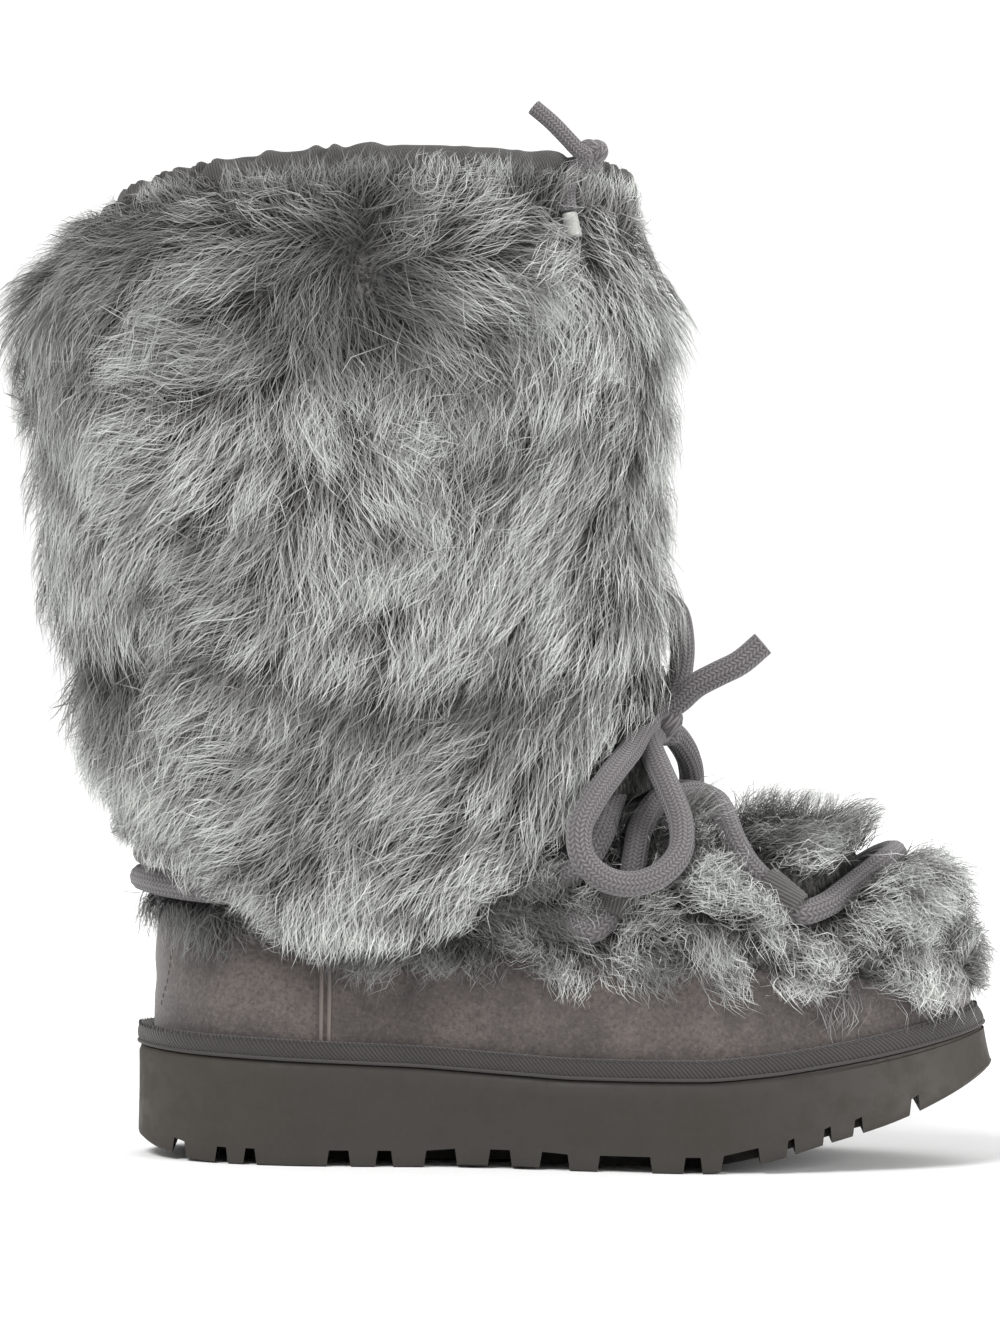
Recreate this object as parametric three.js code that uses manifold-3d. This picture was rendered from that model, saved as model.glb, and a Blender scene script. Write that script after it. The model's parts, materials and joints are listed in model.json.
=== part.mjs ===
// A right-foot sheepskin boot: a low suede foot part on a thick lugged sole, deep fur over the vamp,
// a tall fur shaft with a drawstring collar, and a thick round lace that runs over the instep through
// four webbing sleeves, twice round the ankle, and into a bow.
// Millimetres. X runs from heel to toe, Y to the medial (big toe) side, Z up. Every shape is worked out with
// x = 0 at the back of the sole and z = 0 on the floor; the group is moved at the end.
import * as THREE from "three";
import { mergeVertices } from "three/addons/utils/BufferGeometryUtils.js";
import Module from "manifold-3d";

const wasm = await Module();
wasm.setup();

// ---------------------------------------------------------------- driving dimensions
const SOLE_LENGTH = 285.5;
const GAP = 0.35; // between pieces that touch
const UPPER_WALL = 5; // suede with its pressed wool lining
const SHAFT_WALL = 3; // hide with its lining, inside the deep fur
const INSOLE_THICK = 7;
const TAPE_HEIGHT = 7.2;
const LACE_RADIUS = 4.25;
const DRAWCORD_RADIUS = 2.7;
const SLEEVE_WALL = 1.5;
const GROOVE_DEEP = 5.5; // of the tread
const AROUND = 32; // facets round each piece

// Sole outline. lateral and medial are the half widths of the ellipse that touches it there; swing is how far
// the centre line bends to the big toe.
const OUTLINE = [
  { at: 0.0, lateral: 66, medial: 66, swing: 0 },
  { at: 0.15, lateral: 57, medial: 56, swing: 0 },
  { at: 0.38, lateral: 42, medial: 38, swing: 0 },
  { at: 0.66, lateral: 55, medial: 54, swing: 1 },
  { at: 0.86, lateral: 59, medial: 62, swing: 4 },
  { at: 1.0, lateral: 70, medial: 76, swing: 9 },
];

// Sole from the side: heights of its top and of its tread at each x.
const SOLE_SIDE = [
  { at: 0, top: 36.8, tread: 6.5 },
  { at: 8, top: 36.2, tread: 3.2 },
  { at: 18, top: 35.6, tread: 0.9 },
  { at: 30, top: 35.2, tread: 0 },
  { at: 92, top: 33.0, tread: 0 },
  { at: 108, top: 32.0, tread: 0.9 },
  { at: 128, top: 30.8, tread: 0.9 },
  { at: 146, top: 30.0, tread: 0 },
  { at: 186, top: 30.2, tread: 0 },
  { at: 207, top: 31.8, tread: 3.4 },
  { at: 227, top: 34.6, tread: 9.2 },
  { at: 250, top: 38.6, tread: 16 },
  { at: 270, top: 43.0, tread: 24.5 },
  { at: 286, top: 47.0, tread: 33 },
];

// The last, outside the hide, as rings from the sole to the collar. back and front are x; foot is how far the
// ring has the sole's outline, of which it takes the share wide, and not an oval of half width oval; zBack and
// zFront are its heights, lift what its sides stand above them, follow how far it keeps to the sole's top.
// pile is the depth of the fur at the back, sides and front.
const LAST = [
  { ring: "feather", back: 5, front: 278.5, wide: 0.905, oval: 45, foot: 1, zBack: 37.2, zFront: 45.2, lift: 0, follow: 1, pileBack: 0, pileSide: 0, pileFront: 0 },
  { ring: "side", back: 4.6, front: 278.3, wide: 0.925, oval: 45, foot: 1, zBack: 48, zFront: 54, lift: 0, follow: 0.9, pileBack: 0, pileSide: 0, pileFront: 0 },
  { ring: "shelf", back: 4.8, front: 276, wide: 0.91, oval: 45, foot: 1, zBack: 60, zFront: 64, lift: 0, follow: 0.6, pileBack: 0, pileSide: 2, pileFront: 4 },
  { ring: "turn", back: 5.5, front: 270.5, wide: 0.87, oval: 44, foot: 1, zBack: 71, zFront: 75, lift: 0, follow: 0.3, pileBack: 2, pileSide: 5, pileFront: 8 },
  { ring: "top", back: 6, front: 257, wide: 0.81, oval: 43, foot: 1, zBack: 79, zFront: 85, lift: 0, follow: 0.1, pileBack: 4, pileSide: 8, pileFront: 22 },
  { ring: "vamp", back: 6, front: 236, wide: 0.76, oval: 42, foot: 0.9, zBack: 85, zFront: 94.5, lift: 0, follow: 0, pileBack: 4, pileSide: 8, pileFront: 22 },
  { ring: "waist", back: 6, front: 212, wide: 0.72, oval: 42, foot: 0.75, zBack: 90, zFront: 103.5, lift: 0, follow: 0, pileBack: 4, pileSide: 7, pileFront: 17 },
  { ring: "instep", back: 6.5, front: 190, wide: 0.7, oval: 41, foot: 0.5, zBack: 95, zFront: 108.5, lift: 0, follow: 0, pileBack: 3, pileSide: 5, pileFront: 12 },
  { ring: "ankle", back: 7, front: 174, wide: 0.7, oval: 40, foot: 0.2, zBack: 100, zFront: 110.5, lift: 0, follow: 0, pileBack: 3, pileSide: 4, pileFront: 4 },
  { ring: "joint", back: 7, front: 163.5, wide: 0.7, oval: 40, foot: 0, zBack: 106, zFront: 118, lift: 0, follow: 0, pileBack: 23, pileSide: 20, pileFront: 14 },
  { ring: "shin", back: 2, front: 159, wide: 0.7, oval: 42, foot: 0, zBack: 126, zFront: 142, lift: 0, follow: 0, pileBack: 20, pileSide: 21, pileFront: 18 },
  { ring: "low_calf", back: -8, front: 157, wide: 0.7, oval: 48, foot: 0, zBack: 162, zFront: 178, lift: 0, follow: 0, pileBack: 19, pileSide: 22, pileFront: 20 },
  { ring: "mid_calf", back: -14, front: 157, wide: 0.7, oval: 53, foot: 0, zBack: 202, zFront: 208, lift: 0, follow: 0, pileBack: 22, pileSide: 22, pileFront: 19 },
  { ring: "calf", back: -18, front: 157, wide: 0.7, oval: 57, foot: 0, zBack: 245, zFront: 247, lift: 1, follow: 0, pileBack: 23, pileSide: 22, pileFront: 21 },
  { ring: "high_calf", back: -20, front: 156, wide: 0.7, oval: 58, foot: 0, zBack: 282, zFront: 280, lift: 4, follow: 0, pileBack: 24, pileSide: 20, pileFront: 21 },
  { ring: "neck", back: -13, front: 156, wide: 0.7, oval: 55, foot: 0, zBack: 307, zFront: 306, lift: 7, follow: 0, pileBack: 16, pileSide: 12, pileFront: 10 },
  { ring: "collar", back: -4, front: 158, wide: 0.7, oval: 51, foot: 0, zBack: 321, zFront: 328, lift: 11, follow: 0, pileBack: 4, pileSide: 4, pileFront: 3 },
].map((row, level) => ({ ...row, at: level }));
const JOINT = LAST.findIndex((row) => row.ring === "joint");
const COLLAR = LAST.length - 1;
const CASING_FOOT = COLLAR - 0.55; // where the shaft ends and the drawstring casing starts

// Lower hem of the shaft's fur, which hangs over the foot part at the sides.
const HEM = [
  { at: -20, z: 112 },
  { at: 10, z: 98 },
  { at: 37, z: 88 },
  { at: 62, z: 78 },
  { at: 85, z: 79 },
  { at: 108, z: 88 },
  { at: 134, z: 101 },
  { at: 151, z: 120 },
  { at: 165, z: 140 },
  { at: 178, z: 152 },
];
const HEM_INSIDE = 12; // the hem hangs this far off the hide, outside the lace

// Side edge of the fur on the foot, as levels of the last: its lower and upper edge from heel to toe.
const FUR_EDGE = [
  { at: 0, low: 5.0, high: 6.1 },
  { at: 0.25, low: 4.0, high: 6.6 },
  { at: 0.5, low: 3.8, high: 7.0 },
  { at: 0.8, low: 3.4, high: 7.6 },
  { at: 1.0, low: 2.3, high: 8.2 },
];

// Tread grooves from heel to toe: start and end in x; through ones cross the whole sole.
const GROOVES = [
  { from: 12.5, to: 17.5, through: true },
  { from: 27, to: 31.5, through: true },
  { from: 36.5, to: 41, through: false },
  { from: 64, to: 72, through: false },
  { from: 80, to: 86, through: false },
  { from: 96, to: 107, through: false },
  { from: 117, to: 125, through: false },
  { from: 134, to: 144, through: false },
  { from: 153, to: 171, through: false },
  { from: 181, to: 187.5, through: false },
  { from: 193.5, to: 206.5, through: false },
  { from: 215, to: 218, through: false },
  { from: 227, to: 230, through: false },
  { from: 237, to: 240.5, through: false },
  { from: 256, to: 259.5, through: true },
];
const GROOVE_REACH = 24; // how far a side groove runs in from the edge
const CHANNEL = { from: 44, to: 244, y: 13, wide: 4, deep: 4 }; // two grooves along the sole
const CENTRE_GROOVES = [76, 92, 112, 132, 178, 198, 212, 226]; // short ones between them
const CENTRE_GROOVE_WIDE = 4;

// ---------------------------------------------------------------- curves through the tables
const mix = THREE.MathUtils.lerp;
const vec = (x, y, z) => new THREE.Vector3(x, y, z);

// A table's column at a place, on a smooth curve that doesn't overshoot its rows.
function along(rows, column, at) {
  const end = rows.length - 1;
  if (at <= rows[0].at) return rows[0][column];
  if (at >= rows[end].at) return rows[end][column];
  const i = rows.findIndex((row) => row.at > at) - 1;
  const secant = (j) => (rows[j + 1][column] - rows[j][column]) / (rows[j + 1].at - rows[j].at);
  const slope = (j) => {
    if (j === 0) return secant(0);
    if (j === end) return secant(end - 1);
    const [before, after] = [secant(j - 1), secant(j)];
    return before * after > 0 ? (2 * before * after) / (before + after) : 0;
  };
  const span = rows[i + 1].at - rows[i].at;
  const t = (at - rows[i].at) / span;
  return (
    rows[i][column] * (1 + 2 * t) * (1 - t) ** 2 +
    slope(i) * span * t * (1 - t) ** 2 +
    rows[i + 1][column] * t * t * (3 - 2 * t) +
    slope(i + 1) * span * t * t * (t - 1)
  );
}

const soleTop = (x) => along(SOLE_SIDE, "top", x);
const soleTread = (x) => along(SOLE_SIDE, "tread", x);

// u goes round a ring: 0 at the back, 0.25 on the lateral side, 0.5 at the front, 0.75 on the medial side.
const frontShare = (u) => (1 - Math.cos(2 * Math.PI * u)) / 2;
const sideShare = (u) => Math.sin(2 * Math.PI * u);

const centreLine = (x) => along(OUTLINE, "swing", x / SOLE_LENGTH);

function halfWidth(x, u) {
  return along(OUTLINE, sideShare(u) >= 0 ? "lateral" : "medial", x / SOLE_LENGTH);
}

function outline(u) {
  const x = SOLE_LENGTH * frontShare(u);
  return vec(x, centreLine(x) - halfWidth(x, u) * sideShare(u), 0);
}

// The outline moved in by some distance.
function outlineInset(u, inset) {
  const step = 1e-3;
  const tangent = outline(u + step).sub(outline(u - step)).normalize();
  return outline(u).add(vec(-tangent.y, tangent.x, 0).multiplyScalar(inset));
}

// A point of the last's surface, at a level up it and a place round it.
function last(level, u) {
  const ring = (column) => along(LAST, column, level);
  const share = frontShare(u);
  const x = mix(ring("back"), ring("front"), share);
  const foot = ring("foot");
  const half = mix(ring("oval"), halfWidth(x, u) * ring("wide"), foot);
  const y = foot * centreLine(x) - half * sideShare(u);
  const sag = soleTop(x) - mix(soleTop(0), soleTop(SOLE_LENGTH), x / SOLE_LENGTH);
  const lift = ring("lift") * Math.abs(sideShare(u)) ** 1.4;
  return vec(x, y, mix(ring("zBack"), ring("zFront"), share) + lift + ring("follow") * sag);
}

function lastNormal(level, u) {
  const step = 1e-3;
  const round = last(level, u + step).sub(last(level, u - step));
  const up = last(Math.min(level + step, COLLAR), u).sub(last(Math.max(level - step, 0), u));
  return round.cross(up).normalize();
}

// The surface moved out by some distance, or in where it is negative.
const offLast = (level, u, out) => last(level, u).addScaledVector(lastNormal(level, u), out);

// Depth of the fur.
function pile(level, u) {
  const front = frontShare(u) ** 3;
  const back = (1 - frontShare(u)) ** 3;
  const side = 1 - front - back;
  return (
    front * along(LAST, "pileFront", level) +
    back * along(LAST, "pileBack", level) +
    side * along(LAST, "pileSide", level)
  );
}

// The point this far off the last that stands at x and z, on the lateral (1) or the medial (-1) side.
function beside({ x, z, out }, side = 1) {
  const point = vec(0, 0, 0);
  let [low, high] = [0, COLLAR];
  for (let i = 0; i < 20; i++) {
    const level = (low + high) / 2;
    let [back, front] = [0.002, 0.498];
    for (let j = 0; j < 18; j++) {
      const u = (back + front) / 2;
      point.copy(offLast(level, side > 0 ? u : 1 - u, out));
      if (point.x < x) back = u;
      else front = u;
    }
    if (point.z < z) low = level;
    else high = level;
  }
  return point;
}

// The level at which the last reaches a height, at a place round it.
function levelAt(z, u, low, high) {
  for (let i = 0; i < 24; i++) {
    const middle = (low + high) / 2;
    if (last(middle, u).z < z) low = middle;
    else high = middle;
  }
  return low;
}

// ---------------------------------------------------------------- solids
const steps = (count) => Array.from({ length: count }, (_, i) => i);
const spread = (from, to, count) => steps(count).map((i) => mix(from, to, i / (count - 1)));

function geometryOf(points, faces) {
  const geometry = new THREE.BufferGeometry();
  geometry.setAttribute("position", new THREE.Float32BufferAttribute(points.flatMap((p) => p.toArray()), 3));
  geometry.setIndex(faces.flat());
  return geometry;
}

// A closed ring whose section is given for each u. The section's points go up the outside and down the inside.
function ringSolid(sectionAt, around = AROUND) {
  const sections = steps(around).map((i) => sectionAt(i / around));
  const size = sections[0].length;
  const faces = [];
  for (let i = 0; i < around; i++) {
    const next = (i + 1) % around;
    for (let j = 0; j < size; j++) {
      const up = (j + 1) % size;
      const [a, b, c, d] = [i * size + j, next * size + j, next * size + up, i * size + up];
      faces.push([a, b, c], [a, c, d]);
    }
  }
  return geometryOf(sections.flat(), faces);
}

// A stack of rings from the bottom up, closed by strips from side to side.
function stackSolid(rings) {
  const around = rings[0].length;
  const faces = [];
  for (let level = 0; level < rings.length - 1; level++) {
    for (let i = 0; i < around; i++) {
      const next = (i + 1) % around;
      const [a, b] = [level * around + i, level * around + next];
      faces.push([a, b, b + around], [a, b + around, a + around]);
    }
  }
  const top = (rings.length - 1) * around;
  for (let i = 0; i < around / 2; i++) {
    const [a, b, c, d] = [i, i + 1, around - i - 1, (around - i) % around];
    if (b !== c) faces.push([a, c, b], [top + a, top + b, top + c]);
    if (a !== d) faces.push([a, d, c], [top + a, top + c, top + d]);
  }
  return geometryOf(rings.flat(), faces);
}

// A bar through sections that have the same number of points, given anticlockwise seen from its end.
function sweepSolid(sections) {
  const size = sections[0].length;
  const faces = [];
  for (let i = 0; i < sections.length - 1; i++) {
    for (let j = 0; j < size; j++) {
      const [a, b] = [i * size + j, i * size + ((j + 1) % size)];
      faces.push([a, b, b + size], [a, b + size, a + size]);
    }
  }
  const end = (sections.length - 1) * size;
  for (let j = 1; j < size - 1; j++) faces.push([0, j + 1, j], [end, end + j, end + j + 1]);
  return solidOf(geometryOf(sections.flat(), faces));
}

// A round rope along a smooth curve through points.
function ropeGeometry(points, radius, sides = 6, stepLength = 9) {
  const path = new THREE.CatmullRomCurve3(points, false, "centripetal");
  const section = new THREE.Shape(
    steps(sides).map((i) => {
      const angle = (2 * Math.PI * i) / sides;
      return new THREE.Vector2(Math.cos(angle) * radius, Math.sin(angle) * radius);
    }),
  );
  return new THREE.ExtrudeGeometry(section, {
    steps: Math.max(3, Math.round(path.getLength() / stepLength)),
    bevelEnabled: false,
    extrudePath: path,
  });
}

function solidOf(geometry) {
  const bare = new THREE.BufferGeometry().setAttribute("position", geometry.getAttribute("position"));
  if (geometry.index) bare.setIndex(geometry.index);
  const merged = mergeVertices(bare, 1e-3);
  return new wasm.Manifold(
    new wasm.Mesh({
      numProp: 3,
      vertProperties: new Float32Array(merged.getAttribute("position").array),
      triVerts: new Uint32Array(merged.index.array),
    }),
  );
}

function geometryFrom(solid) {
  const mesh = solid.getMesh();
  const size = mesh.numProp;
  const points = steps(mesh.numVert).map((i) => vec(...mesh.vertProperties.subarray(i * size, i * size + 3)));
  const faces = steps(mesh.numTri).map((i) => [...mesh.triVerts.subarray(i * 3, i * 3 + 3)]);
  return geometryOf(points, faces);
}

const joined = (solids) => solids.reduce((all, solid) => all.add(solid));
const largest = (solid) => solid.decompose().reduce((a, b) => (a.volume() > b.volume() ? a : b));
const rope = (points, radius, sides, stepLength) => solidOf(ropeGeometry(points, radius, sides, stepLength));

// ---------------------------------------------------------------- materials and pieces
const FINISHES = {
  sole: { color: 0x4b4740, roughness: 0.75, metalness: 0 },
  tape: { color: 0x676764, roughness: 0.9, metalness: 0 },
  suede: { color: 0x6b625e, roughness: 0.95, metalness: 0 },
  fur: { color: 0x9a9d9b, roughness: 0.9, metalness: 0 },
  lining: { color: 0x8b8c8b, roughness: 1, metalness: 0 },
  twill: { color: 0x5b5956, roughness: 0.85, metalness: 0 },
  lace: { color: 0x77737a, roughness: 0.9, metalness: 0 },
  tip: { color: 0x9a9a98, roughness: 0.4, metalness: 0 },
};
const materials = Object.fromEntries(
  Object.entries(FINISHES).map(([name, finish]) => [name, new THREE.MeshStandardMaterial({ name, ...finish })]),
);

const boot = new THREE.Group();
function addPiece(name, geometry, material) {
  const mesh = new THREE.Mesh(geometry, materials[material]);
  mesh.name = name;
  boot.add(mesh);
}

// ---------------------------------------------------------------- sole
function soleBlank() {
  const edgeRadius = 1.4;
  const toeFlare = 3; // the wall leans out to the tread at the toe
  const ringAt = (inset, height) =>
    steps(AROUND).map((i) => {
      const u = i / AROUND;
      const point = outlineInset(u, inset(u));
      return vec(point.x, point.y, height(point.x));
    });
  const lean = (u) => toeFlare * frontShare(u) ** 6;
  return stackSolid([
    ringAt(() => edgeRadius, soleTread),
    ringAt(() => 0.2, (x) => soleTread(x) + edgeRadius),
    ringAt((u) => 0.2 + lean(u) * 0.5, (x) => mix(soleTread(x), soleTop(x), 0.55)),
    ringAt((u) => 0.6 + lean(u), (x) => soleTop(x) - edgeRadius),
    ringAt((u) => edgeRadius + lean(u), soleTop),
  ]);
}

// A cutter that opens the tread between two places along it, narrower at its root.
function grooveCutter(from, to, yFrom, yTo, deep) {
  const below = 8;
  const narrow = Math.min(0.8, (to - from) / 6);
  const [rootFrom, rootTo] = [from + narrow, to - narrow];
  const section = new THREE.Shape([
    new THREE.Vector2(from, soleTread(from) - below),
    new THREE.Vector2(to, soleTread(to) - below),
    new THREE.Vector2(to, soleTread(to)),
    new THREE.Vector2(rootTo, soleTread(to) + deep),
    new THREE.Vector2(rootFrom, soleTread(from) + deep),
    new THREE.Vector2(from, soleTread(from)),
  ]);
  const cutter = new THREE.ExtrudeGeometry(section, { depth: yTo - yFrom, bevelEnabled: false });
  cutter.rotateX(Math.PI / 2);
  cutter.translate(0, yTo, 0);
  return solidOf(cutter);
}

function channelCutter(y) {
  const stations = spread(CHANNEL.from, CHANNEL.to, 14);
  const roof = stations.map((x) => new THREE.Vector2(x, soleTread(x) + CHANNEL.deep));
  const outside = 10;
  const section = new THREE.Shape([
    new THREE.Vector2(CHANNEL.from, -outside),
    new THREE.Vector2(CHANNEL.to, -outside),
    ...roof.reverse(),
  ]);
  const cutter = new THREE.ExtrudeGeometry(section, { depth: CHANNEL.wide, bevelEnabled: false });
  cutter.rotateX(Math.PI / 2);
  cutter.translate(0, y + CHANNEL.wide / 2, 0);
  return solidOf(cutter);
}

function outsole() {
  const beyond = 70; // past either edge of the sole
  const cutters = [channelCutter(CHANNEL.y), channelCutter(-CHANNEL.y)];
  for (const groove of GROOVES) {
    if (groove.through) {
      cutters.push(grooveCutter(groove.from, groove.to, -beyond, beyond, GROOVE_DEEP));
      continue;
    }
    const share = (groove.from + groove.to) / 2 / SOLE_LENGTH;
    const u = Math.acos(1 - 2 * share) / (2 * Math.PI);
    const [lateral, medial] = [outline(u).y, outline(1 - u).y];
    cutters.push(grooveCutter(groove.from, groove.to, -beyond, lateral + GROOVE_REACH, GROOVE_DEEP));
    cutters.push(grooveCutter(groove.from, groove.to, medial - GROOVE_REACH, beyond, GROOVE_DEEP));
  }
  for (const x of CENTRE_GROOVES) {
    cutters.push(grooveCutter(x, x + CENTRE_GROOVE_WIDE, -CHANNEL.y, CHANNEL.y, CHANNEL.deep));
  }
  return geometryFrom(largest(solidOf(soleBlank()).subtract(joined(cutters))));
}

// ---------------------------------------------------------------- welt tape, insole, upper
function tapeSection(u) {
  const edge = outlineInset(u, 0.1 + 3 * frontShare(u) ** 6);
  const foot = soleTop(edge.x);
  const inner = [0.55, 0.28, 0].map((level) => offLast(level, u, GAP));
  const outward = vec(edge.x - inner[2].x, edge.y - inner[2].y, 0).normalize();
  const at = (out, up) => vec(edge.x + outward.x * out, edge.y + outward.y * out, foot + up);
  inner[2].z = soleTop(inner[2].x) + GAP;
  return [
    at(-1.2, GAP),
    at(0.1, 1.6),
    at(0.5, 3.6),
    at(0, 5.6),
    at(-1.6, TAPE_HEIGHT),
    ...inner,
  ];
}

function insole() {
  const level = 0.02;
  const ringAt = (inset, up) =>
    steps(AROUND).map((i) => {
      const point = offLast(level, i / AROUND, -(UPPER_WALL + GAP + inset));
      return vec(point.x, point.y, soleTop(point.x) + up);
    });
  return stackSolid([ringAt(0.6, GAP), ringAt(0, GAP + 1), ringAt(0, INSOLE_THICK - 1.5), ringAt(1.5, INSOLE_THICK)]);
}

const UPPER_LEVELS = [...spread(0, 5, 8), ...spread(6, JOINT, 4)];

function upperSection(u) {
  const outside = UPPER_LEVELS.map((level) => last(level, u));
  const inside = UPPER_LEVELS.map((level) => offLast(level, u, -UPPER_WALL));
  inside[0].z = soleTop(inside[0].x) + GAP;
  outside[0].z = soleTop(outside[0].x) + GAP;
  return [...outside, ...inside.reverse()];
}

// The foot part of the last as one body, grown by some distance.
function lastForm(grow) {
  return stackSolid(UPPER_LEVELS.map((level) => steps(AROUND).map((i) => offLast(level, i / AROUND, grow))));
}

// Deep fur that stands proud of the foot part, cut between the last and the last grown by the pile.
function footFurSection(u) {
  const share = frontShare(u);
  const levels = spread(along(FUR_EDGE, "low", share), along(FUR_EDGE, "high", share), 8);
  const edgeThick = 1.6;
  const outside = levels.map((level, i) => {
    const onEdge = i === 0 || i === levels.length - 1;
    return offLast(level, u, GAP + Math.max(edgeThick, pile(level, u) * (onEdge ? 0.5 : 1)));
  });
  return [...outside, ...[levels[7], levels[3], levels[0]].map((level) => offLast(level, u, -2))];
}

// ---------------------------------------------------------------- shaft and casing
function shaftSection(u) {
  const joint = last(JOINT, u);
  const normal = lastNormal(JOINT + 1, u).setZ(0).normalize();
  const hem = along(HEM, "z", joint.x + normal.x * 20);
  const topZ = last(CASING_FOOT, u).z;
  const heights = [0.06, 0.13, 0.22, 0.33, 0.45, 0.57, 0.69, 0.8, 0.89, 0.95, 1].map((t) => mix(hem, topZ, t));
  const outside = heights.map((z) => {
    if (z < joint.z) return joint.clone().setZ(z).addScaledVector(normal, pile(JOINT + 0.5, u));
    const level = levelAt(z, u, JOINT, CASING_FOOT);
    const out = lastNormal(level, u).setZ(0).normalize();
    return last(level, u).addScaledVector(out, Math.max(pile(level, u), 4));
  });
  const tip = joint.clone().setZ(hem).addScaledVector(normal, HEM_INSIDE + 4);
  const underOutside = joint.clone().setZ(hem + 5).addScaledVector(normal, HEM_INSIDE + 0.5);
  const underInside = joint.clone().setZ(joint.z + 6).addScaledVector(normal, HEM_INSIDE - 0.5);
  const inside = spread(JOINT, CASING_FOOT, 8).map((level) => offLast(level, u, -SHAFT_WALL));
  inside[0].z = joint.z + GAP;
  inside[7].z = topZ;
  return [
    joint.clone().setZ(joint.z + GAP),
    underInside,
    underOutside,
    tip,
    ...outside,
    ...inside.reverse(),
  ];
}

function casingSection(u) {
  const foot = last(CASING_FOOT, u);
  const rim = last(COLLAR, u);
  const out = lastNormal(COLLAR - 0.3, u).setZ(0).normalize();
  const at = (base, away, up) => base.clone().addScaledVector(out, away).setZ(base.z + up);
  const middle = foot.clone().lerp(rim, 0.5);
  return [
    at(foot, 1.5, 2 * GAP),
    at(middle, 2.8, 0),
    at(rim, 2.2, -1.5),
    at(rim, 0, 0),
    at(rim, -2.4, -1.5),
    at(middle, -3.2, 0),
    at(foot, -2.6, 2 * GAP),
  ];
}

// ---------------------------------------------------------------- laces
const ropeClear = LACE_RADIUS + GAP;
const SLEEVE_OUT = ropeClear + SLEEVE_WALL + 1.1; // middle of a sleeve from the hide

// The lace from the toe to the knot, seen from the side. Rows with out stand that far off the last; the others
// give y from the centre line, positive on the side the lace starts on.
const OVER_TOE = [
  { x: 251.5, y: 0, z: 103 },
  { x: 250, y: 9, z: 102.2 },
  { x: 246, y: 16.5, z: 100 },
  { x: 240, z: 96, out: 8 },
  { x: 233, z: 91.5, out: 6.8 },
  { x: 226.5, z: 87.5, out: 7.2 },
];
const OVER_INSTEP = [
  { x: 201.5, z: 100.5, out: 6.4 },
  { x: 197, z: 108, out: 7.2 },
  { x: 193, y: 12, z: 117.5 },
  { x: 187, y: 0, z: 121.5 },
  { x: 179.5, y: -10, z: 122 },
  { x: 172, y: -18, z: 120.5 },
];
const TO_REAR_SLEEVE = [
  { x: 166, z: 112, out: 5.6 },
  { x: 164, z: 103, out: 5.8 },
];
const SLEEVES = {
  front: [{ x: 217.5, z: 86.5, out: SLEEVE_OUT }, { x: 206.5, z: 95.5, out: SLEEVE_OUT }],
  rear: [{ x: 162, z: 95, out: SLEEVE_OUT }, { x: 156, z: 84.5, out: SLEEVE_OUT }],
};
const FROM_REAR_SLEEVE = [{ x: 150.5, z: 79.5, out: 6.6 }];
const RISER = [
  { x: 140, z: 96.5, out: 6.2 },
  { x: 147.5, z: 101, out: 6.2 },
  { x: 152.5, z: 109, out: 6.2 },
  { x: 156, z: 119, out: 6 },
  { x: 159.5, z: 130, out: 6.4 },
];

// Once round the heel. start, back and end are heights at the sleeve, the heel and the riser; the powers say how
// late the lace leaves the heel's height, and over how far it lifts off where it crosses the other one.
const WRAPS = {
  lateral: { start: 80, startPower: 4, back: 100.3, end: 95.5, endPower: 1.5, over: 0 },
  medial: { start: 80, startPower: 2, back: 91.5, end: 95.5, endPower: 4, over: LACE_RADIUS * 2 + 0.4 },
};
const WRAP_REACH = 0.265; // how far round to either side

function wrapRound(wrap, side) {
  return spread(-1, 1, 19).map((t) => {
    const u = (t * WRAP_REACH * side + 1) % 1;
    const share = Math.abs(t) ** (t < 0 ? wrap.startPower : wrap.endPower);
    const z = mix(wrap.back, t < 0 ? wrap.start : wrap.end, share);
    const lift = wrap.over * THREE.MathUtils.smoothstep(t, 0.45, 0.75);
    return offLast(levelAt(z, u, 2, JOINT + 2), u, ropeClear + 1 + lift);
  });
}

// The side a lace starts on names it: that one crosses the instep, goes through the rear sleeve of the other
// side and comes back round the heel.
function sleeveEnds(place, side) {
  return SLEEVES[place].map((row) => beside(row, side));
}

function lacePath(name) {
  const side = name === "lateral" ? 1 : -1;
  const lace = (rows, sideOfRow) =>
    rows.map((row) => (row.out === undefined ? vec(row.x, centreLine(row.x) - side * row.y, row.z) : beside(row, sideOfRow)));
  const through = (place, sideOfSleeve) => {
    const [from, to] = sleeveEnds(place, sideOfSleeve);
    return [-0.1, 0.25, 0.75, 1].map((t) => from.clone().lerp(to, t));
  };
  return [
    ...lace(OVER_TOE, side),
    ...through("front", side),
    ...lace(OVER_INSTEP, side),
    ...lace(TO_REAR_SLEEVE, -side),
    ...through("rear", -side),
    ...lace(FROM_REAR_SLEEVE, -side),
    ...wrapRound(WRAPS[name], side),
    ...lace(RISER, side),
  ];
}

const KNOT = { at: vec(172, -1, 146), size: vec(8.5, 9.5, 8) };

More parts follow.
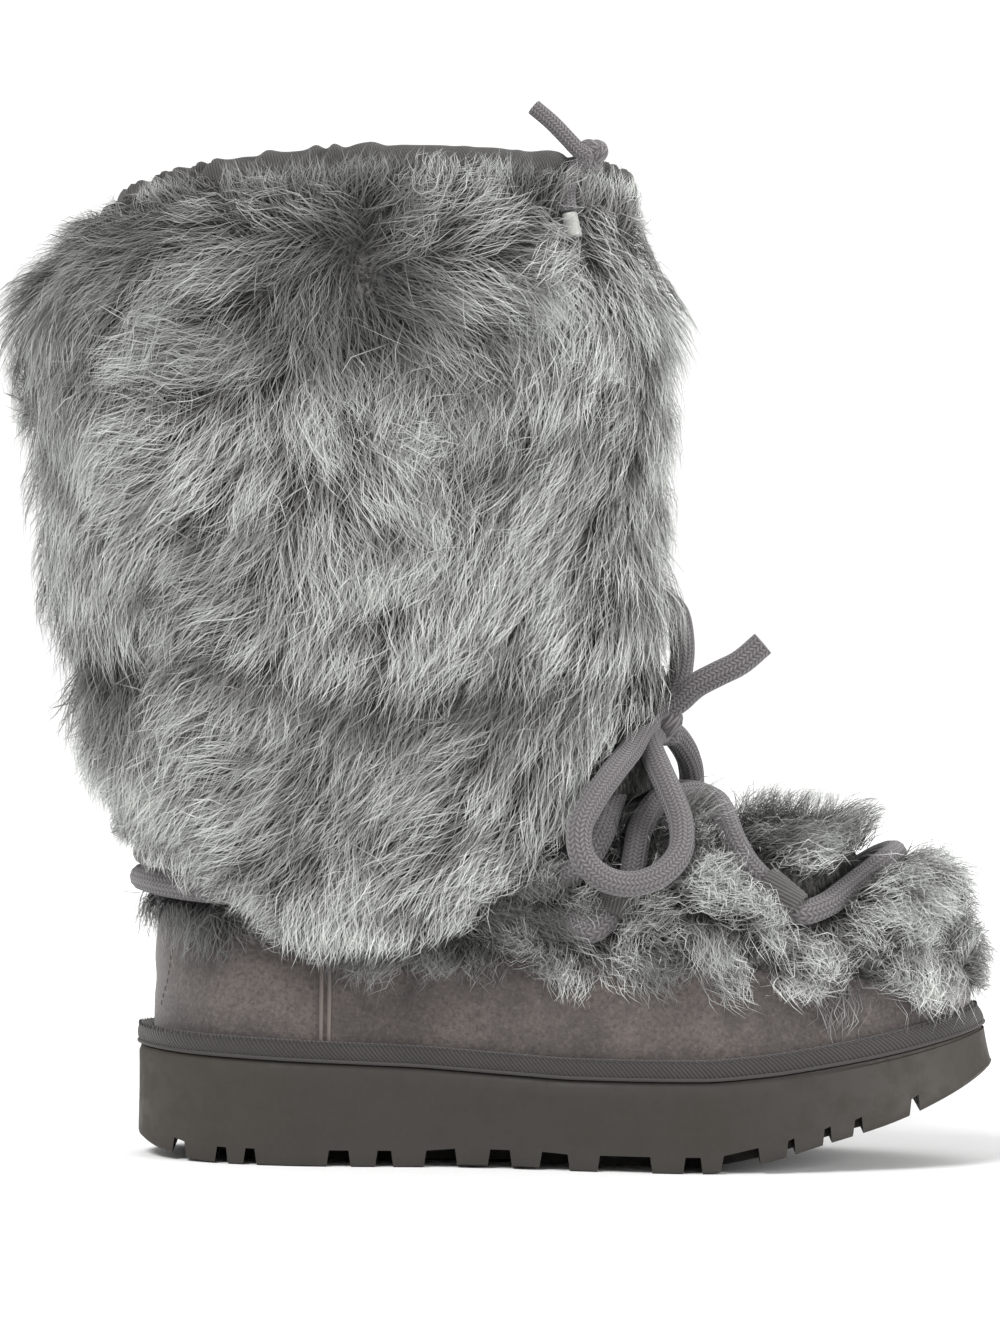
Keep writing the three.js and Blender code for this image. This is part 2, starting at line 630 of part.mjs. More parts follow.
const CORDS = {
  lace_bow_lateral: [
    vec(169, -13, 139), vec(171.5, -24, 132.5), vec(175.5, -34, 124), vec(179, -42, 114.5), vec(178.5, -49, 105.5),
    vec(172, -55, 98.5), vec(162, -58.5, 95.5), vec(152.5, -60.5, 98), vec(146.5, -61, 104.5), vec(145.5, -59, 113),
    vec(149.5, -53, 121.5), vec(156, -42, 130.5), vec(162, -28, 137.5), vec(165.5, -16, 143),
  ],
  lace_bow_medial: [
    vec(175, 9.5, 149), vec(179, 17, 160), vec(180, 23, 172), vec(177.5, 29, 182.5), vec(172, 36, 184),
    vec(169, 42, 176), vec(169, 42, 165), vec(170, 34, 155), vec(170, 22, 148.5), vec(169.5, 12.5, 146),
  ],
  lace_end_lateral: [
    vec(178, -6.5, 153), vec(184, -9, 158.5), vec(191, -11, 162.5), vec(198.5, -12.5, 166.5), vec(206, -13, 173),
  ],
  lace_end_medial: [
    vec(177, 8, 141.5), vec(182, 16, 134.5), vec(184, 26, 125.5), vec(183, 37, 115.5), vec(179, 47, 105),
    vec(172.5, 54.5, 94.5), vec(165, 59.5, 83.5),
  ],
};
const DRAWCORD_KNOT = { at: vec(147, -33, 333.5), size: vec(5.5, 5, 6) };
const DRAWCORDS = {
  drawcord_end_upper: [vec(142.5, -38.5, 334.5), vec(138.5, -40, 338.5), vec(133.5, -40, 343.5), vec(127.5, -39, 348.5)],
  drawcord_end_lower: [vec(142, -36.5, 329), vec(139.8, -39, 324.5), vec(139, -41.5, 319), vec(139.5, -43.5, 314.5)],
};
const DRAWCORD_TIP = [vec(139.6, -43.8, 313.8), vec(141.2, -45.2, 306)];

const ball = ({ at, size }, grow = 0, round = 10, high = 6) =>
  new THREE.SphereGeometry(1, round, high)
    .scale(size.x + grow, size.y + grow, size.z + grow)
    .translate(at.x, at.y, at.z);

const laces = { lateral: lacePath("lateral"), medial: lacePath("medial") };
const laceRopes = (grow) => joined(Object.values(laces).map((path) => rope(path, LACE_RADIUS + grow, 6, 13)));
const sleeves = {};
for (const place of Object.keys(SLEEVES)) {
  sleeves[`lace_sleeve_${place}_lateral`] = sleeveEnds(place, 1);
  sleeves[`lace_sleeve_${place}_medial`] = sleeveEnds(place, -1);
}

// A sleeve of folded webbing round the lace.
function sleeve([from, to]) {
  const line = [from, from.clone().lerp(to, 0.5), to];
  return geometryFrom(rope(line, LACE_RADIUS + 3 * GAP + SLEEVE_WALL, 10, 6).subtract(laceRopes(3.5 * GAP)));
}

// A slot over the lace's way across the foot, open to the outside of the fur.
function laceSlot(points, length) {
  const axisHeight = 62;
  const deep = 24;
  const radius = ropeClear;
  const path = new THREE.CatmullRomCurve3(points, false, "centripetal");
  return sweepSolid(
    spread(0, (length - 1) / (points.length - 1), 18).map((t) => {
      const at = path.getPoint(t);
      const tangent = path.getTangent(t);
      const away = vec(0, at.y, at.z - axisHeight);
      away.addScaledVector(tangent, -away.dot(tangent)).normalize();
      const side = away.clone().cross(tangent);
      const corner = (aside, out) => at.clone().addScaledVector(side, aside).addScaledVector(away, out);
      return [corner(radius, 0), corner(radius, deep), corner(-radius, deep), corner(-radius, 0)];
    }),
  );
}

// Room for the laces, the knots and the bow.
function laceRoom() {
  const overFoot = OVER_TOE.length + 4 + OVER_INSTEP.length;
  const ends = [...Object.values(laces).flatMap((path) => [path[0], path.at(-1)]), ...Object.values(CORDS).map((path) => path.at(-1))];
  const cap = LACE_RADIUS + 3 * GAP;
  const capSize = vec(cap, cap, cap);
  return [
    ...Object.values(laces).map((path) => laceSlot(path, overFoot)),
    laceRopes(3 * GAP),
    ...Object.values(CORDS).map((path) => rope(path, LACE_RADIUS + 5 * GAP, 6, 12)),
    ...ends.map((at) => solidOf(ball({ at, size: capSize }, 0.6, 8, 5))),
    ...Object.values(DRAWCORDS).map((path) => rope(path, DRAWCORD_RADIUS + 4 * GAP, 6, 6)),
    rope(DRAWCORD_TIP, DRAWCORD_RADIUS + 4 * GAP, 6, 4),
    ...[...Object.values(DRAWCORDS).map((path) => path.at(-1)), ...DRAWCORD_TIP].map((at) =>
      solidOf(ball({ at, size: vec(4.4, 4.4, 4.4) }, 0, 8, 5)),
    ),
    solidOf(ball(KNOT, 3 * GAP)),
    solidOf(ball(DRAWCORD_KNOT, 3 * GAP)),
    ...Object.values(sleeves).map(([from, to]) => {
      const end = to.clone().sub(from).setLength(1.2);
      const line = [from.clone().sub(end), from.clone().lerp(to, 0.5), to.clone().add(end)];
      return rope(line, LACE_RADIUS + SLEEVE_WALL + 6 * GAP, 8, 12);
    }),
  ];
}

// ---------------------------------------------------------------- the boot
const room = laceRoom();
const furCut = (solid) =>
  geometryFrom(largest(room.reduce((rest, cutter) => rest.subtract(cutter), solid).simplify(0.15)));

addPiece("outsole", outsole(), "sole");
addPiece("welt_tape", ringSolid(tapeSection), "tape");
addPiece("insole", insole(), "lining");
addPiece("upper", ringSolid(upperSection), "suede");
const furOutsideLast = solidOf(ringSolid(footFurSection)).subtract(solidOf(lastForm(GAP)));
addPiece("foot_fur", furCut(furOutsideLast), "fur");
addPiece("shaft", furCut(solidOf(ringSolid(shaftSection))), "fur");
addPiece("collar_casing", furCut(solidOf(ringSolid(casingSection))), "twill");
addPiece("lacing", geometryFrom(laceRopes(0)), "lace");
for (const [name, ends] of Object.entries(sleeves)) addPiece(name, sleeve(ends), "twill");
addPiece("lace_knot", ball(KNOT), "lace");
for (const [name, path] of Object.entries(CORDS)) addPiece(name, ropeGeometry(path, LACE_RADIUS), "lace");
addPiece("drawcord_knot", ball(DRAWCORD_KNOT), "lace");
for (const [name, path] of Object.entries(DRAWCORDS)) {
  addPiece(name, ropeGeometry(path, DRAWCORD_RADIUS, 8, 4), "lace");
}
addPiece("drawcord_tip", ropeGeometry(DRAWCORD_TIP, DRAWCORD_RADIUS + 0.1, 10, 3), "tip");

// The origin is on the floor, under the solid heel block.
const HEEL_BLOCK = 52;
boot.position.set(-HEEL_BLOCK, 0, 0);

export default boot;
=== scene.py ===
"""A right-foot sheepskin boot: lugged foam sole, suede foot, deep fur on the vamp and the shaft, round
braided lace, webbing sleeves and a gathered drawcord collar.

Shapes are worked out in millimetres with x = 0 at the back of the sole and z = 0 on the floor, as the boot's
own solids are, and are moved to the frame's origin when their meshes are made.
"""

import json
import math

import bmesh
import bpy
import numpy as np
from mathutils import Matrix, Vector, kdtree

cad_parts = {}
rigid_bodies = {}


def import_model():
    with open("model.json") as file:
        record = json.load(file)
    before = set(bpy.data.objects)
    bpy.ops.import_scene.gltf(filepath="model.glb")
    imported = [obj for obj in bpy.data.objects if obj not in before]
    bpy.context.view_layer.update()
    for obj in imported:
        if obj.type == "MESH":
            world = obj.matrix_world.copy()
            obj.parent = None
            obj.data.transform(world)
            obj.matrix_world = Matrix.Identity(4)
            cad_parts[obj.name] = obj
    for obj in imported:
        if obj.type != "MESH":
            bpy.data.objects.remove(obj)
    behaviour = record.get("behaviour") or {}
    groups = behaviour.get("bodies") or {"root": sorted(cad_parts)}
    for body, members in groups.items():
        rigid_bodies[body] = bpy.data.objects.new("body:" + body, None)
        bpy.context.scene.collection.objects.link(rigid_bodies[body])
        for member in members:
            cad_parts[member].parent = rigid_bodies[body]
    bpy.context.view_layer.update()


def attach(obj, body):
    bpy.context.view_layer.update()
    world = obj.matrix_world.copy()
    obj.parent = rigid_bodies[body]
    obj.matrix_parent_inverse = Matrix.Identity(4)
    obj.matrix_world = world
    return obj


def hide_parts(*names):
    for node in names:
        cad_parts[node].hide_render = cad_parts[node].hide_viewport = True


bl_info = {
    "name": "Sheepskin boot",
    "version": (1, 0, 0),
    "blender": (4, 5, 0),
    "location": "3D View > Sidebar > Boot",
    "description": "Finishes a sheepskin boot: fur, suede, sole, lace and collar",
    "category": "Object",
}

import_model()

MM = 0.001
HEEL_BLOCK = 52.0  # the frame's origin is this far forward of the back of the sole
SOLE_LENGTH = 285.5
UPPER_WALL = 5.0
SHAFT_WALL = 3.0
TAPE_HEIGHT = 7.2
GAP = 0.35


# ---------------------------------------------------------------------- the last
class Table:
    """Columns of numbers read on a smooth curve that doesn't overshoot its rows."""

    def __init__(self, names, rows):
        data = np.array(rows, float)
        self.at = data[:, 0]
        self.columns = {}
        for i, name in enumerate(names):
            values = data[:, i + 1]
            secant = np.diff(values) / np.diff(self.at)
            slopes = np.zeros(len(values))
            slopes[0], slopes[-1] = secant[0], secant[-1]
            both = secant[:-1] * secant[1:] > 0
            total = np.where(both, secant[:-1] + secant[1:], 1)
            slopes[1:-1] = np.where(both, 2 * secant[:-1] * secant[1:] / total, 0)
            self.columns[name] = (values, slopes)

    def __call__(self, name, at):
        values, slopes = self.columns[name]
        at = np.clip(np.asarray(at, float), self.at[0], self.at[-1])
        i = np.clip(np.searchsorted(self.at, at, side="right") - 1, 0, len(values) - 2)
        span = self.at[i + 1] - self.at[i]
        t = (at - self.at[i]) / span
        return (
            values[i] * (1 + 2 * t) * (1 - t) ** 2
            + slopes[i] * span * t * (1 - t) ** 2
            + values[i + 1] * t * t * (3 - 2 * t)
            + slopes[i + 1] * span * t * t * (t - 1)
        )


OUTLINE = Table(
    ("lateral", "medial", "swing"),
    [
        (0.0, 66, 66, 0),
        (0.15, 57, 56, 0),
        (0.38, 42, 38, 0),
        (0.66, 55, 54, 1),
        (0.86, 59, 62, 4),
        (1.0, 70, 76, 9),
    ],
)
SOLE_SIDE = Table(
    ("top", "tread"),
    [
        (0, 36.8, 6.5),
        (8, 36.2, 3.2),
        (18, 35.6, 0.9),
        (30, 35.2, 0),
        (92, 33.0, 0),
        (108, 32.0, 0.9),
        (128, 30.8, 0.9),
        (146, 30.0, 0),
        (186, 30.2, 0),
        (207, 31.8, 3.4),
        (227, 34.6, 9.2),
        (250, 38.6, 16),
        (270, 43.0, 24.5),
        (286, 47.0, 33),
    ],
)
LAST_COLUMNS = (
    "back front wide oval foot back_z front_z lift follow back_pile side_pile front_pile".split()
)
LAST = Table(
    LAST_COLUMNS,
    [
        (level, *row)
        for level, row in enumerate(
            [
                (5, 278.5, 0.905, 45, 1, 37.2, 45.2, 0, 1, 0, 0, 0),
                (4.6, 278.3, 0.925, 45, 1, 48, 54, 0, 0.9, 0, 0, 0),
                (4.8, 276, 0.91, 45, 1, 60, 64, 0, 0.6, 0, 2, 4),
                (5.5, 270.5, 0.87, 44, 1, 71, 75, 0, 0.3, 2, 5, 8),
                (6, 257, 0.81, 43, 1, 79, 85, 0, 0.1, 4, 8, 22),
                (6, 236, 0.76, 42, 0.9, 85, 94.5, 0, 0, 4, 8, 22),
                (6, 212, 0.72, 42, 0.75, 90, 103.5, 0, 0, 4, 7, 17),
                (6.5, 190, 0.7, 41, 0.5, 95, 108.5, 0, 0, 3, 5, 12),
                (7, 174, 0.7, 40, 0.2, 100, 110.5, 0, 0, 3, 4, 4),
                (7, 163.5, 0.7, 40, 0, 106, 118, 0, 0, 23, 20, 14),
                (2, 159, 0.7, 42, 0, 126, 142, 0, 0, 20, 21, 18),
                (-8, 157, 0.7, 48, 0, 162, 178, 0, 0, 19, 22, 20),
                (-14, 157, 0.7, 53, 0, 202, 208, 0, 0, 22, 22, 19),
                (-18, 157, 0.7, 57, 0, 245, 247, 1, 0, 23, 22, 21),
                (-20, 156, 0.7, 58, 0, 282, 280, 4, 0, 24, 20, 21),
                (-13, 156, 0.7, 55, 0, 307, 306, 7, 0, 16, 12, 10),
                (-4, 158, 0.7, 51, 0, 321, 328, 11, 0, 4, 4, 3),
            ]
        )
    ],
)
JOINT = 9
COLLAR = 16
CASING_FOOT = COLLAR - 0.55
HEM = Table(
    ("z",),
    [
        (-20, 112),
        (10, 98),
        (37, 88),
        (62, 78),
        (85, 79),
        (108, 88),
        (134, 101),
        (151, 120),
        (165, 140),
        (178, 152),
    ],
)
HEM_INSIDE = 12.0
FUR_EDGE = Table(
    ("low", "high"),
    [(0, 5.0, 6.1), (0.25, 4.0, 6.6), (0.5, 3.8, 7.0), (0.8, 3.4, 7.6), (1.0, 2.3, 8.2)],
)


def mix(a, b, t):
    return a + (b - a) * t


def smooth(low, high, x):
    t = np.clip((np.asarray(x, float) - low) / (high - low), 0, 1)
    return t * t * (3 - 2 * t)


def unit(v):
    return v / np.maximum(np.linalg.norm(v, axis=-1, keepdims=True), 1e-12)


def run_along(points):
    """The distance along a line of points, at each of them."""
    steps = np.linalg.norm(np.diff(points, axis=0), axis=1)
    return np.concatenate([[0], np.cumsum(steps)])


def front_share(u):
    return (1 - np.cos(2 * np.pi * u)) / 2


def centre_line(x):
    return OUTLINE("swing", x / SOLE_LENGTH)


def half_width(x, side):
    at = x / SOLE_LENGTH
    return np.where(side >= 0, OUTLINE("lateral", at), OUTLINE("medial", at))


def outline(u, inset=0.0):
    """The sole's edge from above, moved in by inset."""

    def edge(w):
        x = SOLE_LENGTH * front_share(w)
        side = np.sin(2 * np.pi * w)
        return np.stack([x, centre_line(x) - half_width(x, side) * side], -1)

    u = np.asarray(u, float)
    along = unit(edge(u + 1e-3) - edge(u - 1e-3))
    inward = np.stack([-along[..., 1], along[..., 0]], -1)
    return edge(u) + inward * np.asarray(inset, float)[..., None]


def last(level, u):
    """A point of the last's surface, at a level up it and a place round it."""
    level, u = np.broadcast_arrays(np.asarray(level, float), np.asarray(u, float))
    side = np.sin(2 * np.pi * u)
    share = front_share(u)
    foot = LAST("foot", level)
    x = mix(LAST("back", level), LAST("front", level), share)
    half = mix(LAST("oval", level), half_width(x, side) * LAST("wide", level), foot)
    y = foot * centre_line(x) - half * side
    sag = SOLE_SIDE("top", x) - mix(SOLE_SIDE("top", 0), SOLE_SIDE("top", SOLE_LENGTH), x / SOLE_LENGTH)
    z = mix(LAST("back_z", level), LAST("front_z", level), share)
    z = z + LAST("lift", level) * np.abs(side) ** 1.4 + LAST("follow", level) * sag
    return np.stack([x, y, z], -1)


def last_normal(level, u):
    level, u = np.broadcast_arrays(np.asarray(level, float), np.asarray(u, float))
    step = 1e-3
    around = last(level, u + step) - last(level, u - step)
    up = last(np.minimum(level + step, COLLAR), u) - last(np.maximum(level - step, 0), u)
    return unit(np.cross(around, up))


def off_last(level, u, out):
    return last(level, u) + last_normal(level, u) * np.asarray(out, float)[..., None]


def pile(level, u):
    front = front_share(u) ** 3
    back = (1 - front_share(u)) ** 3
    return (
        front * LAST("front_pile", level)
        + back * LAST("back_pile", level)
        + (1 - front - back) * LAST("side_pile", level)
    )


def level_at(z, u, low, high):
    """The level at which the last reaches a height, at a place round it."""
    low = np.full(np.shape(z), float(low))
    high = np.full(np.shape(z), float(high))
    for _ in range(22):
        middle = (low + high) / 2
        below = last(middle, u)[..., 2] < z
        low, high = np.where(below, middle, low), np.where(below, high, middle)
    return low


def flat_normal(level, u):
    return unit(last_normal(level, u) * [1, 1, 0])


def shaft_fur_surface(u, t):
    """The tips of the shaft's fur, from its hem (t = 0) to the collar (t = 1)."""
    u, t = np.broadcast_arrays(u, t)
    joint = last(JOINT, u)
    out = flat_normal(JOINT + 1, u)
    hem = HEM("z", joint[..., 0] + out[..., 0] * 20)
    top = last(CASING_FOOT, u)[..., 2]
    z = mix(hem, top, t)
    level = level_at(z, u, JOINT, CASING_FOOT)
    upper = last(level, u) + flat_normal(level, u) * np.maximum(pile(level, u), 4)[..., None]
    skirt = joint + out * pile(JOINT + 0.5, u)[..., None]
    skirt[..., 2] = z
    blend = smooth(-14, 10, z - joint[..., 2])[..., None]
    point = mix(skirt, upper, blend)
    point[..., 2] = z
    return point


FRINGE = 0.75  # how many levels below the fur's edge its lowest strands are rooted


def foot_fur_level(u, t):
    share = front_share(u)
    low = FUR_EDGE("low", share) - FRINGE * smooth(0.02, 0.2, share) * (1 - 0.6 * smooth(0.85, 1, share))
    return mix(low, FUR_EDGE("high", share), t)


def foot_fur_surface(u, t):
    """The tips of the fur on the foot, from its lower edge to its upper one."""
    u, t = np.broadcast_arrays(u, t)
    level = foot_fur_level(u, t)
    deep = np.maximum(1.6, pile(level, u)) * (1 - 0.45 * (1 - smooth(0, 0.12, t)))
    return off_last(level, u, GAP + deep)


class Skin:
    """A surface on a grid, round (u) and up (t), that strands and tufts are set on."""

    def __init__(self, surface, around=288, up=72):
        self.around, self.up = around, up
        u = np.arange(around + 1)[:, None] / around
        t = np.linspace(0, 1, up + 1)[None, :]
        self.point = surface(u, t)
        core = self.point[:-1]
        round_core = (np.roll(core, -1, 0) - np.roll(core, 1, 0)) * (around / 2)
        self.round = np.concatenate([round_core, round_core[:1]])
        self.rise = np.gradient(self.point, 1 / up, axis=1)
        facing = np.cross(self.round, self.rise)
        self.normal = unit(facing)
        self.area = np.linalg.norm(facing, axis=-1)[:-1, :-1]

    def at(self, u, t):
        """Point, normal, and the ways round and up (each as millimetres for the whole of u or t)."""
        i = (u % 1) * self.around
        j = np.clip(t, 0, 1) * self.up
        i0 = np.minimum(i.astype(int), self.around - 1)
        j0 = np.minimum(j.astype(int), self.up - 1)
        a, b = (i - i0)[:, None], (j - j0)[:, None]

        def read(grid):
            low = mix(grid[i0, j0], grid[i0 + 1, j0], a)
            return mix(low, mix(grid[i0, j0 + 1], grid[i0 + 1, j0 + 1], a), b)

        return read(self.point), unit(read(self.normal)), read(self.round), read(self.rise)

    def scatter(self, count, rng):
        """Places spread evenly over the surface's area, as u and t."""
        total = np.cumsum(self.area.ravel())
        cell = np.searchsorted(total, rng.random(count) * total[-1])
        cell = np.minimum(cell, self.area.size - 1)
        i, j = np.divmod(cell, self.up)
        return (i + rng.random(count)) / self.around, (j + rng.random(count)) / self.up

    def spaced(self, spacing, rng):
        """Scattered places no nearer to each other than spacing."""
        area = self.area.sum() / (self.around * self.up)
        u, t = self.scatter(int(area / spacing**2 * 6), rng)
        point = self.at(u, t)[0]
        cells, kept = {}, []
        for k, p in enumerate(point):
            key = tuple((p // spacing).astype(int))
            near = (
                other
                for dx in (-1, 0, 1)
                for dy in (-1, 0, 1)
                for dz in (-1, 0, 1)
                for other in cells.get((key[0] + dx, key[1] + dy, key[2] + dz), ())
            )
            if all(((point[o] - p) ** 2).sum() > spacing**2 for o in near):
                cells.setdefault(key, []).append(k)
                kept.append(k)
        return u[kept], t[kept]


# ---------------------------------------------------------------------- lace routes
SIDES = {"lateral": 1, "medial": -1}
LACE_RADIUS = 4.25
LACE_RELIEF = 0.16
LACE_STEP = 1.0
DRAWCORD_RADIUS = 2.7
DRAWCORD_RELIEF = 0.1
FREE_CORD_STEP = 0.9
SLEEVE_WALL = 1.5
ROPE_CLEAR = LACE_RADIUS + GAP
SLEEVE_OUT = ROPE_CLEAR + SLEEVE_WALL + 1.1

# The lace from the toe to the knot: x, y from the centre line (positive on the side it starts on) and z.
OVER_TOE = [(251.5, 0, 103), (250, 9, 102.2), (246, 16.5, 100)]
OVER_BOW = [(193, 12, 117.5), (187, 0, 121.5), (179.5, -10, 122), (172, -18, 120.5)]
# The same lace where it lies on the boot: x, z and how far off the last it stands.
TO_FRONT_SLEEVE = [(240, 96, 8), (233, 91.5, 6.8), (226.5, 87.5, 7.2)]
OVER_INSTEP = [(201.5, 100.5, 6.4), (197, 108, 7.2)]
TO_REAR_SLEEVE = [(166, 112, 5.6), (164, 103, 5.8)]
FROM_REAR_SLEEVE = [(150.5, 79.5, 6.6)]
RISER = [(140, 96.5, 6.2), (147.5, 101, 6.2), (152.5, 109, 6.2), (156, 119, 6), (159.5, 130, 6.4)]
SLEEVE_ENDS = {
    "front": [(217.5, 86.5, SLEEVE_OUT), (206.5, 95.5, SLEEVE_OUT)],
    "rear": [(162, 95, SLEEVE_OUT), (156, 84.5, SLEEVE_OUT)],
}
# Once round the heel: heights at the sleeve, the heel and the riser, how late the lace leaves the heel's
# height, and how far it lifts where it crosses the other one.
WRAPS = {
    "lateral": {"start": 80, "start_power": 4, "back": 100.3, "end": 95.5, "end_power": 1.5, "over": 0},
    "medial": {"start": 80, "start_power": 2, "back": 91.5, "end": 95.5, "end_power": 4, "over": 8.9},
}
WRAP_REACH = 0.265
KNOT_AT = (172, -1, 146)
KNOT_SIZE = (8.5, 9.5, 8)
BOW_LOOPS = {
    "lateral": [
        (169, -13, 139), (171.5, -24, 132.5), (175.5, -34, 124), (179, -42, 114.5), (178.5, -49, 105.5),
        (172, -55, 98.5), (162, -58.5, 95.5), (152.5, -60.5, 98), (146.5, -61, 104.5), (145.5, -59, 113),
        (149.5, -53, 121.5), (156, -42, 130.5), (162, -28, 137.5), (165.5, -16, 143),
    ],
    "medial": [
        (175, 9.5, 149), (179, 17, 160), (180, 23, 172), (177.5, 29, 182.5), (172, 36, 184),
        (169, 42, 176), (169, 42, 165), (170, 34, 155), (170, 22, 148.5), (169.5, 12.5, 146),
    ],
}
BOW_ENDS = {
    "lateral": [
        (178, -6.5, 153), (184, -9, 158.5), (191, -11, 162.5), (198.5, -12.5, 166.5), (206, -13, 173),
    ],
    "medial": [
        (177, 8, 141.5), (182, 16, 134.5), (184, 26, 125.5), (183, 37, 115.5), (179, 47, 105),
        (172.5, 54.5, 94.5), (165, 59.5, 83.5),
    ],
}
# Where each cord leaves the knot for its loop, and passes back through it to its end.
KNOT_START = {"lateral": (170.5, -6, 142.5), "medial": (173, 4, 146)}
KNOT_PASS = {
    "lateral": [(169.5, -7.5, 147.5), (173.5, -5.5, 150.5)],
    "medial": [(171, 5, 143.5), (174, 3.5, 142)],
}
DRAWCORD_KNOT = (147, -33, 333.5)
DRAWCORD_KNOT_SIZE = (5.5, 5, 6)
DRAWCORD_UPPER = [(142.5, -38.5, 334.5), (138.5, -40, 338.5), (133.5, -40, 343.5), (127.5, -39, 348.5)]
DRAWCORD_LOWER = [(142, -36.5, 329), (139.8, -39, 324.5), (139, -41.5, 319), (139.5, -43.5, 314.5)]
DRAWCORD_TURN = [(145, -37.5, 333)]
DRAWCORD_TIP = [(139.6, -43.8, 313.8), (141.2, -45.2, 306)]


def beside(rows, side):
    """The points at each row's x and z that stand its distance off the last, on one side."""
    x, z, out = np.array(rows, float).T
    grids = np.meshgrid(np.linspace(0.5, COLLAR, 40), np.linspace(0.02, 0.48, 40))
    levels, places = (grid.ravel() for grid in grids)
    step = 1e-4

    def point(level, u):
        return off_last(level, u if side > 0 else 1 - u, out)

    all_points = off_last(levels[:, None], (places if side > 0 else 1 - places)[:, None], out[None, :])
    nearest = np.argmin((all_points[..., 0] - x) ** 2 + (all_points[..., 2] - z) ** 2, axis=0)
    level, u = levels[nearest], places[nearest]
    for _ in range(8):
        here = point(level, u)
        up = (point(level + step, u) - here) / step
        along = (point(level, u + step) - here) / step
        miss_x, miss_z = x - here[:, 0], z - here[:, 2]
        area = up[:, 0] * along[:, 2] - up[:, 2] * along[:, 0]
        level = level + (miss_x * along[:, 2] - miss_z * along[:, 0]) / area
        u = u + (miss_z * up[:, 0] - miss_x * up[:, 2]) / area
    return point(level, u)


def off_centre(rows, side):
    x, y, z = np.array(rows, float).T
    return np.stack([x, centre_line(x) - side * y, z], -1)


def through_sleeve(place, side):
    start, stop = beside(SLEEVE_ENDS[place], side)
    return np.array([mix(start, stop, t) for t in (-0.1, 0.25, 0.75, 1)])


def wrap_round(wrap, side):
    t = np.linspace(-1, 1, 19)
    u = (t * WRAP_REACH * side + 1) % 1
    share = np.abs(t) ** np.where(t < 0, wrap["start_power"], wrap["end_power"])
    z = mix(wrap["back"], np.where(t < 0, wrap["start"], wrap["end"]), share)
    lift = wrap["over"] * smooth(0.45, 0.75, t)
    return off_last(level_at(z, u, 2, JOINT + 2), u, ROPE_CLEAR + 1 + lift)


def lace_route(name):
    """The line of a lace, which is named for the side it starts on.

    It goes on through the other side's rear sleeve and back round the heel.
    """
    side = SIDES[name]
    return np.concatenate(
        [
            off_centre(OVER_TOE, side),
            beside(TO_FRONT_SLEEVE, side),
            through_sleeve("front", side),
            beside(OVER_INSTEP, side),
            off_centre(OVER_BOW, side),
            beside(TO_REAR_SLEEVE, -side),
            through_sleeve("rear", -side),
            beside(FROM_REAR_SLEEVE, -side),
            wrap_round(WRAPS[name], side),
            beside(RISER, side),
        ]
    )


def bow_route(name):
    return [KNOT_START[name], *BOW_LOOPS[name], *KNOT_PASS[name], *BOW_ENDS[name]]


def curve_through(points, step):
    """Even steps along a smooth curve through points."""
    p = np.array(points, float)
    p = np.concatenate([[2 * p[0] - p[1]], p, [2 * p[-1] - p[-2]]])
    pieces = []
    for i in range(1, len(p) - 2):
        a, b, c, d = p[i - 1 : i + 3]
        knots = np.cumsum([0] + [max(np.linalg.norm(q), 1e-6) ** 0.5 for q in (b - a, c - b, d - c)])
        t = np.linspace(knots[1], knots[2], 24, endpoint=False)[:, None]
        a1 = (knots[1] - t) / knots[1] * a + t / knots[1] * b
        a2 = ((knots[2] - t) * b + (t - knots[1]) * c) / (knots[2] - knots[1])
        a3 = ((knots[3] - t) * c + (t - knots[2]) * d) / (knots[3] - knots[2])
        b1 = (knots[2] - t) / knots[2] * a1 + t / knots[2] * a2
        b2 = ((knots[3] - t) * a2 + (t - knots[1]) * a3) / (knots[3] - knots[1])
        pieces.append(((knots[2] - t) * b1 + (t - knots[1]) * b2) / (knots[2] - knots[1]))
    fine = np.concatenate([*pieces, p[-2:-1]])
    run = run_along(fine)
    at = np.linspace(0, run[-1], max(2, round(run[-1] / step)) + 1)
    return np.stack([np.interp(at, run, fine[:, k]) for k in range(3)], 1)


# ---------------------------------------------------------------------- meshes
def placed(points):
    """Points of the last, moved to the frame, in metres."""
    return (np.asarray(points, float) - [HEEL_BLOCK, 0, 0]) * MM


def mesh_piece(name, points, faces, smooth_faces=True):
    """A mesh from points in metres and an (n, k) array of faces, or a list of such arrays."""
    faces = faces if isinstance(faces, list) else [faces]
    mesh = bpy.data.meshes.new(name)
    corners = np.concatenate([np.ravel(f) for f in faces])
    sizes = np.concatenate([np.full(len(f), np.shape(f)[1]) for f in faces])
    starts = np.concatenate([[0], np.cumsum(sizes)[:-1]])
    mesh.vertices.add(len(points))
    mesh.vertices.foreach_set("co", np.asarray(points, np.float32).ravel())
    mesh.loops.add(len(corners))
    mesh.loops.foreach_set("vertex_index", corners.astype(np.int32))
    mesh.polygons.add(len(sizes))
    mesh.polygons.foreach_set("loop_start", starts.astype(np.int32))
    mesh.polygons.foreach_set("use_smooth", np.full(len(sizes), smooth_faces))
    mesh.update(calc_edges=True)
    if mesh.validate():
        raise RuntimeError(f"{name}'s faces aren't valid")
    piece = bpy.data.objects.new(name, mesh)
    bpy.context.scene.collection.objects.link(piece)
    return piece


def ring_faces(rings, around, closed):
    """Quads between rings that lie one above the other; closed joins the last ring to the first."""
    j, i = np.meshgrid(np.arange(rings if closed else rings - 1), np.arange(around), indexing="ij")
    up, next_one = (j + 1) % rings, (i + 1) % around
    quad = [j * around + i, j * around + next_one, up * around + next_one, up * around + i]
    return np.stack(quad, -1).reshape(-1, 4)


